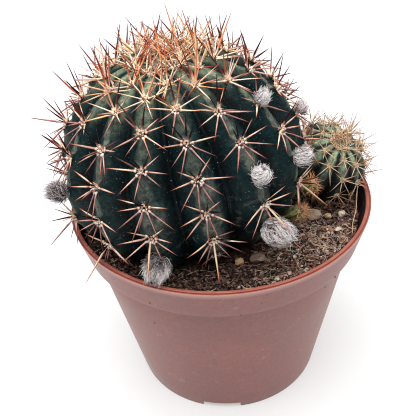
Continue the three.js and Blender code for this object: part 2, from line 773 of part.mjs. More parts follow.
// A worn stone: a ball with uneven radii, half sunk in its dent.
function stoneSolid(stone, index, grow = 0) {
  const ball = new THREE.IcosahedronGeometry(1, 1);
  const position = ball.attributes.position;
  const [length, width, height] = stone.size;
  for (let i = 0; i < position.count; i += 1) {
    const v = new THREE.Vector3().fromBufferAttribute(position, i);
    const key = Math.round(v.x * 90) + Math.round(v.y * 90) * 3 + Math.round(v.z * 90) * 7;
    const uneven = 1 + STONE_UNEVEN * (draw(index, key, 5) - 0.5);
    position.setXYZ(
      i,
      v.x * (uneven * length / 2 + grow),
      v.y * (uneven * width / 2 + grow),
      v.z * (uneven * height / 2 + grow));
  }
  ball.rotateZ(rad(stone.turn));
  ball.translate(stone.at[0], stone.at[1], SOIL_LEVEL + STONE_RAISED * height);
  return solidFromGeometry(ball);
}

const plant = new THREE.Group();

function addPiece(name, solid, color, roughness) {
  const material = new THREE.MeshStandardMaterial({ color, roughness, metalness: 0 });
  const geometry = geometryFromSolid(largestPiece(solid));
  geometry.computeVertexNormals();
  const mesh = new THREE.Mesh(geometry, material);
  mesh.name = name;
  plant.add(mesh);
}

// What the spines go round: the buds, and each stem for the spines of the others.
WOOL_BUDS.forEach((bud) => {
  const { centre, axis } = budPlace(bud);
  const ball = ballAlong(
    centre, axis, bud.length / 2 + BUD_CLEARANCE, bud.width / 2 + BUD_CLEARANCE);
  keptClear.push({ ...ball, owner: "bud" });
});
[MAIN_STEM, OFFSET_STEM, SMALL_OFFSET_UPPER, SMALL_OFFSET_LOWER].forEach((stem) => {
  const centre = new THREE.Vector3(...stem.centre);
  const axis = placeOnStem(stem, up).sub(centre).normalize();
  const half = Math.max(stem.upper, stem.lower);
  const spineRoom = ballAlong(
    centre, axis, half + SPINE_CLEARANCE, stem.radius + SPINE_CLEARANCE);
  keptClear.push({ ...spineRoom, owner: stem.name });
  const padRoom = ballAlong(centre, axis, half + PAD_CLEARANCE, stem.radius + PAD_CLEARANCE);
  stemRooms.push({ ...padRoom, owner: stem.name });
});

const mainBody = stemBody(MAIN_STEM);
const roomForMain = stemBody(MAIN_STEM, SEAT_GAP);
const offsetBody = stemBody(OFFSET_STEM).subtract(roomForMain);
const roomForOffset = stemBody(OFFSET_STEM, SEAT_GAP);
const upperBody = stemBody(SMALL_OFFSET_UPPER).subtract(roomForMain).subtract(roomForOffset);
const lowerBody = stemBody(SMALL_OFFSET_LOWER).subtract(roomForMain);

const budRooms = WOOL_BUDS.map((bud) => solidFromMerged(budCore(bud, 1.2 * SEAT_GAP)));
const mainStem = budRooms.reduce(
  (solid, room) => solid.subtract(room), spinyStem(MAIN_STEM, mainBody));
const roomForUpper = stemBody(SMALL_OFFSET_UPPER, SEAT_GAP);
const offsetStem = spinyStem(OFFSET_STEM, offsetBody).subtract(roomForUpper);
const smallUpper = spinyStem(SMALL_OFFSET_UPPER, upperBody);
const smallLower = spinyStem(SMALL_OFFSET_LOWER, lowerBody);

const stoneDents = STONES.map((stone, index) => stoneSolid(stone, index, SEAT_GAP));
const soil = soilSolid([footHole(MAIN_STEM), footHole(OFFSET_STEM), ...stoneDents]);

addPiece("pot", potSolid(), 0xb97f72, 0.45);
addPiece("potting_soil", soil, 0x33261d, 0.95);
addPiece("main_stem", mainStem, 0x33453f, 0.6);
addPiece("offset_stem", offsetStem, 0x4f6b52, 0.6);
addPiece("small_offset_upper", smallUpper, 0x8a8a55, 0.6);
addPiece("small_offset_lower", smallLower, 0x4f6b3c, 0.6);
WOOL_BUDS.forEach((bud, index) => {
  addPiece(`wool_bud_${index + 1}`, budSolid(bud, index).subtract(roomForMain), 0xb9b4b0, 0.95);
});
STONES.forEach((stone, index) => {
  addPiece(`stone_${index + 1}`, stoneSolid(stone, index), 0x8d8377, 0.9);
});

export default plant;
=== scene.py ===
"""Looks of a potted golden easter lily cactus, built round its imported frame.

Sizes are in millimetres and turn into metres where a mesh is made. An azimuth is measured round
+Z from -Y towards +X, and the side that faces -Y is the front. The stems, their areoles and their
buds repeat the formulas and the driving sizes of the construction, so every finer piece lies where
its solid is.
"""

import math
from collections import namedtuple

import bmesh
import bpy
import numpy as np
from mathutils import Matrix, Vector


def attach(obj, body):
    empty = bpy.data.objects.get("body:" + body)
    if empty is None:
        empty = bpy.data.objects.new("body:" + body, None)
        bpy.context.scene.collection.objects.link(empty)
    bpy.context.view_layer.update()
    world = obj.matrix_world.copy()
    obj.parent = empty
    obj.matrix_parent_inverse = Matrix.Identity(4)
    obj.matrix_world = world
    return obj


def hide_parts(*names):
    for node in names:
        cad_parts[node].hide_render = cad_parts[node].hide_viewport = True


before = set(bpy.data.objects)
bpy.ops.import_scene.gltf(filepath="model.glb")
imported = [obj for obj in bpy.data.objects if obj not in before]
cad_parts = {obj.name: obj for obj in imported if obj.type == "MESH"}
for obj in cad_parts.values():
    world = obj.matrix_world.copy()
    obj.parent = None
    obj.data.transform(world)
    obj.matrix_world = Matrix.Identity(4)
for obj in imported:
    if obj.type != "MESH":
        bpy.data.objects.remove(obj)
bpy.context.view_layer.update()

MM = 0.001

# The photograph's camera: its place, its own axes, and in pixels its focal length and the width
# of the picture.
CAMERA_PLACE = (0, -234.15, 247.54)
CAMERA_RIGHT = (0.9983, -0.0182, -0.0555)
CAMERA_UP = (0.0556, 0.5888, 0.8064)
FOCAL_PIXELS = 704.72
PICTURE_PIXELS = 416
SENSOR_WIDTH = 36

# The pot.
POT_HEIGHT = 84.3
RIM_RADIUS = 60
RIM_INNER_RADIUS = 58
RIM_GROOVE_RADIUS = 59.36
COLLAR_HEIGHT = 13.9
COLLAR_FOOT_RADIUS = 56.5
COLLAR_WALL = 2
BODY_TOP_RADIUS = 53.7
BASE_RADIUS = 40
BODY_WALL = 1.5
FLOOR_UNDERSIDE = 3
FLOOR_THICKNESS = 1.6
FOOT_RING_INNER_RADIUS = 36.4
BOSS_RADIUS = 14
BOSS_SLOPE = 1.3
DRAIN_HOLES = 6
DRAIN_HOLE_RADIUS = 3.5
DRAIN_CIRCLE_RADIUS = 26
FOOT_NOTCHES = 4
FOOT_NOTCH_WIDTH = 16
FOOT_NOTCH_HEIGHT = 2.8
FOOT_NOTCH_AZIMUTH = -6
POT_COLUMNS = 224

# What follows from these: the foot of the collar, its inside, and the top of the floor.
COLLAR_FOOT = POT_HEIGHT - COLLAR_HEIGHT
COLLAR_FOOT_INNER_RADIUS = COLLAR_FOOT_RADIUS - COLLAR_WALL
FLOOR_TOP = FLOOR_UNDERSIDE + FLOOR_THICKNESS
FLOOR_RADIUS = BASE_RADIUS + (BODY_TOP_RADIUS - BASE_RADIUS) * FLOOR_TOP / COLLAR_FOOT - BODY_WALL

# The soil, which keeps a small gap from the pot.
SOIL_LEVEL = 76
SEAT_GAP = 0.35

# Spines keep these distances from the pot, its rim, the soil and other stems.
SPINE_CLEARANCE = 0.9
RIM_CLEARANCE = 2.2
SOIL_CLEARANCE = 0.3
STEM_CLEARANCE = 0.4


def linear(red, green, blue):
    """A screen colour in 255ths as linear light."""
    shares = np.array([red, green, blue]) / 255
    return np.where(shares <= 0.04045, shares / 12.92, ((shares + 0.055) / 1.055) ** 2.4)


def draw(a, b=0, c=0):
    """A repeatable draw between 0 and 1 from up to three whole numbers."""
    value = math.sin(a * 12.9898 + b * 78.233 + c * 37.719 + 4.1) * 43758.5453
    return value - math.floor(value)


def between(ends, share):
    """What lies at a share of the way from one end to the other."""
    return ends[0] + (ends[1] - ends[0]) * share


def smooth_step(low, high, value):
    """Rises softly from 0 at low to 1 at high."""
    t = np.clip((value - low) / (high - low), 0, 1)
    return t * t * (3 - 2 * t)


def unit(v):
    """Vectors with their length brought to 1."""
    return v / np.linalg.norm(v, axis=-1, keepdims=True)


def lattice(x, y, z, seed):
    """A repeatable value between 0 and 1 at each corner of a grid of cubes."""
    value = np.sin(x * 12.9898 + y * 78.233 + z * 37.719 + seed * 4.1) * 43758.5453
    return value - np.floor(value)


def noise(points, size, seed=0):
    """Smooth noise between -1 and 1, with features about as large as size."""
    scaled = points / size
    corner = np.floor(scaled)
    part = scaled - corner
    part = part * part * (3 - 2 * part)
    total = np.zeros(points.shape[:-1])
    for step in np.ndindex(2, 2, 2):
        at = corner + step
        weight = np.prod(np.where(step, part, 1 - part), axis=-1)
        total += weight * lattice(at[..., 0], at[..., 1], at[..., 2], seed)
    return 2 * total - 1


def fractal(points, size, octaves, seed=0):
    """Noise with finer noise on it."""
    return sum(noise(points, size / 2**k, seed + k) / 2**k for k in range(octaves))


# Meshes


def new_object(name, data):
    """An object of the scene, which holds a mesh, a lamp or a camera."""
    made = bpy.data.objects.new(name, data)
    bpy.context.scene.collection.objects.link(made)
    return made


def new_mesh(name, points, faces):
    """A mesh from points in millimetres."""
    mesh = bpy.data.meshes.new(name)
    mesh.from_pydata((np.asarray(points) * MM).tolist(), [], faces)
    return mesh


def add_values(mesh, values):
    """Gives every point of a mesh the named values that its material reads."""
    for key, value in values.items():
        attribute = mesh.attributes.new(key, "FLOAT", "POINT")
        attribute.data.foreach_set("value", np.asarray(value, np.float32).ravel())


def add_piece(name, points, faces, material, slot, tint=None, values=None, smooth=True):
    """Makes a piece from points in millimetres, gives it its colours and lets it ride."""
    mesh = new_mesh(name, points, faces)
    mesh.validate()
    if tint is not None:
        colours = np.ones((len(points), 4))
        colours[:, :3] = tint
        attribute = mesh.attributes.new("tint", "FLOAT_COLOR", "POINT")
        attribute.data.foreach_set("color", colours.astype(np.float32).ravel())
    add_values(mesh, values or {})
    if smooth:
        mesh.shade_smooth()
    mesh.materials.append(material)
    piece = new_object(name, mesh)
    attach(piece, "root")
    return piece


def ball_shape(subdivisions):
    """The points and faces of a ball with radius 1."""
    ball = bmesh.new()
    bmesh.ops.create_icosphere(ball, subdivisions=subdivisions, radius=1)
    points = np.array([corner.co for corner in ball.verts])
    faces = [[corner.index for corner in face.verts] for face in ball.faces]
    ball.free()
    return points, faces


def ring(radius, height, turn):
    """Points round +Z at azimuths in radians."""
    return np.stack([radius * np.sin(turn), -radius * np.cos(turn), height + 0 * turn], -1)


def grid_faces(rows, columns, first=0):
    """Quads between rows of points that run round a form."""
    row = np.arange(rows - 1)[:, None]
    column = np.arange(columns)[None, :]
    here = first + row * columns + column
    beside = first + row * columns + (column + 1) % columns
    return np.stack([here, here + columns, beside + columns, beside], -1).reshape(-1, 4).tolist()


def closed_faces(rows, columns):
    """Quads between rows of points, and fans from the two points that follow to the end rows."""
    top = rows * columns
    last = top - columns
    faces = grid_faces(rows, columns)
    faces += [[top, k, (k + 1) % columns] for k in range(columns)]
    faces += [[top + 1, last + (k + 1) % columns, last + k] for k in range(columns)]
    return faces


def tubes(paths, radii, sides):
    """Closed tapering tubes. paths is tubes by nodes by 3, and radii tubes by nodes."""
    count, nodes = radii.shape
    along = unit(np.gradient(paths, axis=1))
    whole = unit(paths[:, -1] - paths[:, 0])
    reference = np.eye(3)[np.argmin(np.abs(whole), axis=1)]
    across = np.cross(whole, reference)[:, None, :]
    across = unit(across - along * np.sum(across * along, -1, keepdims=True))
    other = np.cross(along, across)
    turn = 2 * np.pi * np.arange(sides) / sides
    out = across[:, :, None] * np.cos(turn)[:, None] + other[:, :, None] * np.sin(turn)[:, None]
    points = paths[:, :, None] + out * radii[:, :, None, None]
    tube = np.arange(count)[:, None, None] * nodes * sides
    node = np.arange(nodes - 1)[None, :, None] * sides
    side = np.arange(sides)[None, None, :]
    here = tube + node + side
    beside = tube + node + (side + 1) % sides
    faces = np.stack([here, beside, beside + sides, here + sides], -1).reshape(-1, 4).tolist()
    first = (np.arange(count) * nodes * sides)[:, None]
    root = first + np.arange(sides)[::-1]
    tip = first + (nodes - 1) * sides + np.arange(sides)
    return points.reshape(-1, 3), faces + root.tolist() + tip.tolist()


def ramp(stops, share):
    """Colours along a list of (share, (red, green, blue) in 255ths)."""
    at = [stop[0] for stop in stops]
    colours = np.array([linear(*stop[1]) for stop in stops])
    return np.stack([np.interp(share, at, colours[:, k]) for k in range(3)], -1)


class Heap:
    """Gathers meshes with their colours into one piece."""

    def __init__(self):
        self.points = []
        self.faces = []
        self.tints = []
        self.count = 0

    def add(self, points, faces, tint):
        self.points.append(points)
        self.faces.extend([[k + self.count for k in face] for face in faces])
        self.tints.append(np.broadcast_to(tint, points.shape))
        self.count += len(points)

    def piece(self, name, material, slot, smooth=True):
        return add_piece(
            name, np.concatenate(self.points), self.faces, material, slot,
            np.concatenate(self.tints), smooth=smooth)


# The side from which painted light falls on the spines: they are drawn lighter there and darker
# opposite.
PAINTED_LIGHT_SIDE = unit(np.array([-0.5, -0.25, 0.83]))

# The painted highlight and painted shade on a spine's two sides differ less at the crown, as light
# falls between its dense spines.
CROWN_HEIGHTS = (130, 142)
CROWN_SOFTNESS = 0.4


class Strands:
    """Gathers tapering strands with the same number of nodes, and their colours."""

    def __init__(self, sides):
        self.sides = sides
        self.paths = []
        self.radii = []
        self.tints = []

    def add(self, path, radii, tint):
        self.paths.append(path)
        self.radii.append(radii)
        self.tints.append(np.broadcast_to(tint, path.shape))

    def piece(self, name, material, slot, painted_shade=(1, 1, 1), painted_highlight=(1, 1, 1), contrast=(1,)):
        """One piece, its tints multiplied by painted_highlight on the side towards the painted light
        and by painted_shade opposite.

        contrast says at each node of a strand how far the painted highlight and shade of its two sides
        differ.
        """
        paths = np.array(self.paths)
        points, faces = tubes(paths, np.array(self.radii), self.sides)
        tint = np.repeat(np.array(self.tints).reshape(-1, 3), self.sides, axis=0)
        middles = np.repeat(paths.reshape(-1, 3), self.sides, axis=0)
        painted_lit_share = smooth_step(-0.4, 0.55, unit(points - middles) @ PAINTED_LIGHT_SIDE)
        far = np.broadcast_to(np.array(contrast, float), paths.shape[1:2])
        far = np.tile(np.repeat(far, self.sides), len(paths))
        far = far * (1 - CROWN_SOFTNESS * smooth_step(*CROWN_HEIGHTS, middles[:, 2]))
        painted_lit_share = (1 - (1 - painted_lit_share) * far)[:, None]
        tint = tint * (np.array(painted_shade) * (1 - painted_lit_share) + np.array(painted_highlight) * painted_lit_share)
        return add_piece(name, points, faces, material, slot, np.minimum(tint, 0.92))


# Materials


class Shader:
    """A material and short names for the nodes that it is made of."""

    def __init__(self, name, roughness=0.5, **settings):
        self.material = bpy.data.materials.new(name)
        self.material.use_nodes = True
        self.nodes = self.material.node_tree.nodes
        self.links = self.material.node_tree.links
        self.surface = self.nodes["Principled BSDF"]
        self.surface.inputs["Roughness"].default_value = roughness
        for socket, value in settings.items():
            self.surface.inputs[socket.replace("_", " ")].default_value = value
        place = self.nodes.new("ShaderNodeTexCoord")
        scale = self.nodes.new("ShaderNodeMapping")
        scale.inputs["Scale"].default_value = (1 / MM, 1 / MM, 1 / MM)
        self.links.new(place.outputs["Object"], scale.inputs["Vector"])
        self.place = scale.outputs["Vector"]

    def put(self, value, socket):
        """Links an output to a socket, or sets the socket to a value."""
        if isinstance(value, bpy.types.NodeSocket):
            self.links.new(value, socket)
        elif hasattr(value, "__len__"):
            socket.default_value = (*value, 1.0)
        else:
            socket.default_value = value

    def node(self, kind, **inputs):
        """A new node, with its sockets linked or set."""
        made = self.nodes.new(f"ShaderNode{kind}")
        for name, value in inputs.items():
            self.put(value, made.inputs[name.replace("_", " ")])
        return made

    def attribute(self, name, output="Fac"):
        """A value or a colour that the points of the mesh hold."""
        node = self.node("Attribute")
        node.attribute_name = name
        return node.outputs[output]

    def stretched(self, x, y, z):
        """Places along which textures are drawn out: the smaller a share, the longer."""
        node = self.node("Mapping", Vector=self.place)
        node.inputs["Scale"].default_value = (x, y, z)
        return node.outputs["Vector"]

    def noise(self, size, detail=3, rough=0.5, distortion=0, place=None):
        return self.node(
            "TexNoise", Scale=1 / size, Detail=detail, Roughness=rough, Distortion=distortion,
            Vector=place or self.place).outputs["Fac"]

    def cells(self, size, output="Distance"):
        return self.node("TexVoronoi", Scale=1 / size, Vector=self.place).outputs[output]

    def step(self, value, low, high, start=0.0, end=1.0):
        """Turns the range low to high of a value smoothly into start to end."""
        node = self.node(
            "MapRange", From_Min=low, From_Max=high, To_Min=start, To_Max=end, Value=value)
        node.interpolation_type = "SMOOTHSTEP"
        return node.outputs["Result"]

    def math(self, operation, first, second=0.0):
        node = self.node("Math")
        node.operation = operation
        self.put(first, node.inputs[0])
        self.put(second, node.inputs[1])
        return node.outputs["Value"]

    def times(self, first, second):
        return self.math("MULTIPLY", first, second)

    def specks(self, size, edge, rarity):
        """Dots in cells of a size, which fade out over edge. The higher rarity, the fewer."""
        near = self.step(self.cells(size), *edge, 1, 0)
        return self.times(near, self.step(self.cells(size, "Color"), *rarity))

    def mix(self, share, first, second, blend="MIX"):
        node = self.node("Mix")
        node.data_type = "RGBA"
        node.blend_type = blend
        self.put(share, node.inputs["Factor"])
        self.put(first, node.inputs[6])
        self.put(second, node.inputs[7])
        return node.outputs[2]

    def bump(self, height, distance, strength=1.0):
        """Adds relief to what is there, with its depth in millimetres."""
        node = self.node("Bump", Distance=distance * MM, Strength=strength, Height=height)
        before = self.surface.inputs["Normal"]
        if before.is_linked:
            self.put(before.links[0].from_socket, node.inputs["Normal"])
        self.put(node.outputs["Normal"], before)

    def colour(self, value):
        self.put(value, self.surface.inputs["Base Color"])

    def roughness(self, value):
        self.put(value, self.surface.inputs["Roughness"])


def skin_material(name, crest, flank, groove, young, flecks, scuff_and_sheen):
    """Waxy skin: a pale band along each crest, dark flanks, darker still towards the grooves as
    painted shade, painted light on one side of each crest, fresh at the crown, worn low down.

    flecks says how strong its pale dots are, and scuff_and_sheen how strong its wear is and its
    patches below the areoles, partly scuffing and partly painted sheen.
    """
    crest, flank, groove, young = [linear(*colour) for colour in (crest, flank, groove, young)]
    s = Shader(name, Specular_IOR_Level=0.11)
    share = s.attribute("groove")
    band = s.attribute("band")
    fresh = s.attribute("fresh")
    old = s.attribute("old")
    large = s.noise(9, 4, 0.6)
    fine = s.noise(1.5, 5, 0.75)
    edge = s.math("ADD", s.math("SUBTRACT", share, band), s.step(fine, 0.3, 0.7, -0.05, 0.05))
    near = s.math("ADD", share, s.step(large, 0.3, 0.7, -0.18, 0.18))
    # Painted shade: the skin turns to the groove colour towards each groove.
    colour = s.mix(s.step(near, 0.4, 0.95), flank, groove)
    # Painted light: the side of each crest marked lit is drawn brighter.
    bright_side = s.times(s.attribute("lit"), s.step(large, 0.35, 0.65, 0.0, 0.34))
    colour = s.mix(bright_side, colour, s.mix(0.42, flank, crest))
    light_flank = s.mix(0.6, flank, young)
    green_groove = s.mix(0.02, flank, young)
    colour = s.mix(fresh, colour, s.mix(s.step(share, 0.36, 0.84), light_flank, green_groove))
    ridge = s.mix(fresh, crest, young)
    ridge = s.mix(s.step(large, 0.42, 0.68), ridge, s.mix(0.5, flank, crest))
    ridge = s.mix(s.times(s.attribute("aside"), 0.4), ridge, linear(122, 136, 118))
    colour = s.mix(s.step(edge, -0.035, 0.025), ridge, colour)
    # The patches below the areoles: partly scuffing, partly painted sheen.
    worn = s.times(s.attribute("scuffed_and_sheen"), s.step(s.noise(4, 6, 0.75, 0.5), 0.36, 0.6))
    colour = s.mix(s.times(worn, scuff_and_sheen), colour, linear(104, 108, 100))
    tone = s.mix(s.step(fine, 0.34, 0.66), (0.14, 0.14, 0.15), (0.88, 0.88, 0.86))
    colour = s.mix(0.72, colour, tone, "OVERLAY")
    wear = s.times(s.step(s.noise(5, 6, 0.72, 0.6), 0.54, 0.7), old)
    colour = s.mix(s.times(wear, scuff_and_sheen), colour, linear(92, 92, 84))
    dots = s.specks(1.9, (0.02, 0.12), (0.48, 0.58))
    dust = s.specks(0.75, (0.0, 0.26), (0.58, 0.68))
    dusty = s.step(s.noise(7, 3, 0.6), 0.4, 0.66, 0.25, 0.75)
    spots = s.times(s.math("MAXIMUM", dots, s.times(dust, dusty)), flecks)
    colour = s.mix(spots, colour, linear(158, 166, 162))
    s.colour(colour)
    s.roughness(s.step(large, 0.3, 0.75, 0.42, 0.6))
    s.bump(s.noise(0.9, 3, 0.6), 0.2, 0.6)
    s.bump(s.noise(4.5, 3, 0.5), 0.6, 0.35)
    return s.material


def spine_material():
    """Horny spines: their own colours, slightly streaked along."""
    s = Shader("spine_horn", roughness=0.5, Specular_IOR_Level=0.14)
    streak = s.noise(0.5, 3, 0.6)
    tone = s.mix(s.step(streak, 0.3, 0.7), (0.36, 0.36, 0.36), (0.64, 0.64, 0.62))
    s.colour(s.mix(0.5, s.attribute("tint", "Color"), tone, "OVERLAY"))
    s.bump(streak, 0.06, 0.5)
    return s.material


def wool_material(name):
    """Matt wool and felt in their own colours."""
    s = Shader(name, roughness=0.95, Specular_IOR_Level=0.2, Sheen_Weight=0.35,
               Sheen_Roughness=0.5)
    tone = s.mix(s.step(s.noise(0.7, 3, 0.6), 0.3, 0.7), (0.4, 0.4, 0.4), (0.6, 0.6, 0.6))
    s.colour(s.mix(0.6, s.attribute("tint", "Color"), tone, "OVERLAY"))
    return s.material


def soil_material():
    """Dry peat: dark crumbs with tan and reddish grains."""
    s = Shader("potting_mix", roughness=0.95, Specular_IOR_Level=0.15)
    grain = s.step(s.cells(0.7, "Color"), 0.25, 0.75)
    # Painted shade and light: the soil is drawn darker to the left and lighter to the right, with
    # darker patches in it.
    damp_and_shaded = s.mix(grain, linear(10, 7, 7), linear(92, 68, 58))
    damp_and_shaded = s.mix(s.step(s.noise(6, 4, 0.6), 0.45, 0.7), damp_and_shaded, linear(40, 28, 25))
    lit_right = s.mix(grain, linear(20, 14, 14), linear(112, 88, 77))
    s.colour(s.mix(s.attribute("lit_right"), damp_and_shaded, lit_right))
    s.bump(s.noise(0.6, 4, 0.7), 0.5, 0.9)
    s.bump(s.cells(1.1), 0.5, 0.5)
    return s.material


def tinted_material(name, roughness, size, bump):
    """Rough matter in its own colours, mottled at the given size."""
    s = Shader(name, roughness=roughness, Specular_IOR_Level=0.2)
    tone = s.mix(s.step(s.noise(size, 4, 0.65), 0.3, 0.7), (0.3, 0.3, 0.3), (0.68, 0.67, 0.65))
    s.colour(s.mix(0.7, s.attribute("tint", "Color"), tone, "OVERLAY"))
    s.bump(s.noise(size / 2, 4, 0.6), bump, 0.7)
    return s.material


def pot_material():
    """Terracotta-coloured moulded plastic: dusty outside, warm on the lip, flecked with soil, with a
    painted highlight on the rim's outer edge and painted shade in its groove.
    """
    s = Shader("terracotta_plastic", Specular_IOR_Level=0.35, Sheen_Weight=0.24,
               Sheen_Roughness=0.45, Sheen_Tint=(1.0, 0.84, 0.8, 1.0))
    cloud = s.noise(26, 4, 0.6)
    scrape = s.noise(3.0, 5, 0.7, place=s.stretched(0.35, 0.35, 1.6))
    wall = s.mix(s.step(cloud, 0.35, 0.68), linear(128, 79, 74), linear(141, 90, 84))
    wall = s.mix(s.step(scrape, 0.56, 0.76, 0, 0.35), wall, linear(158, 118, 110))
    fleck = s.specks(3.4, (0.03, 0.09), (0.5, 0.56))
    wall = s.mix(s.times(fleck, 0.5), wall, linear(84, 50, 48))
    streak = s.noise(2.2, 4, 0.65, place=s.stretched(1.6, 1.6, 0.16))
    wall = s.mix(s.step(streak, 0.5, 0.75, 0, 0.22), wall, linear(112, 66, 64))
    grain = s.mix(s.step(s.noise(1.3, 4, 0.7), 0.3, 0.7), (0.44, 0.44, 0.44), (0.56, 0.55, 0.55))
    wall = s.mix(0.9, wall, grain, "OVERLAY")
    smear = s.times(s.step(s.noise(7, 5, 0.75, 0.8), 0.62, 0.72), 0.36)
    wall = s.mix(smear, wall, linear(186, 160, 152))
    lip = s.mix(s.step(scrape, 0.4, 0.7), linear(146, 78, 63), linear(170, 98, 81))
    wall = s.mix(s.attribute("lip"), wall, lip)
    # Painted highlight on the rim's outer edge.
    wall = s.mix(s.times(s.attribute("edge"), 0.7), wall, linear(206, 166, 156))
    # Painted shade in the rim's groove.
    s.colour(s.mix(s.attribute("rim_groove_shade"), wall, linear(132, 54, 42)))
    s.roughness(s.step(cloud, 0.3, 0.7, 0.42, 0.58))
    s.bump(scrape, 0.1, 0.4)
    s.bump(s.noise(0.8, 2, 0.5), 0.05, 0.35)
    return s.material


def pot_inside_material():
    """The inside of the pot: moist and stained by the soil, and drawn darker still as painted shade.
    """
    s = Shader("stained_and_shaded_plastic", roughness=0.8, Specular_IOR_Level=0.15)
    stain = s.step(s.noise(4, 5, 0.7), 0.35, 0.7)
    s.colour(s.mix(stain, linear(26, 15, 23), linear(64, 44, 47)))
    s.bump(s.noise(1.5, 4, 0.6), 0.2, 0.5)
    return s.material


def floor_material():
    """A pale floor, itself a little bright, so that shadows on it stay faint."""
    s = Shader("studio_floor", roughness=0.85, Specular_IOR_Level=0.1,
               Emission_Color=(1, 1, 1, 1), Emission_Strength=0.45)
    s.colour(s.mix(s.step(s.noise(220, 2, 0.5), 0.3, 0.7), (0.54, 0.54, 0.54), (0.55, 0.55, 0.55)))
    return s.material


# Stems


# The pale band on a crest, as a share of the way to the groove: it is narrow below an areole, and
# the bands of the side ribs are narrower by this share.
BAND_WIDEST = 0.28
BAND_NARROWEST = 0.05
SIDE_NARROWING = 0.5

# The power of a groove's curve, and how the skin's grooves differ from those of the solid.
GROOVE_POWER = 1.6
FINE_GROOVE_POWER = 1.35
FINE_GROOVE_SHARE = 1.16

# The skin's columns crowd towards the crests by this power, and its root is as worn as this
# latitude.
COLUMN_CROWDING = 1.35
ROOT_LATITUDE = -80

# Rows of areoles end at this latitude. Where they crowd, each gap is this share of the last one.
CROWN_EDGE = 84
CROWN_GAP_SHARE = 0.68

# Areoles nearer than this to another stem are left out.
PAD_CLEARANCE = 2.4


# An areole: its rib, its number on the rib, its latitude, its axes and what its draws start from.
Areole = namedtuple("Areole", "rib index latitude axes seed")


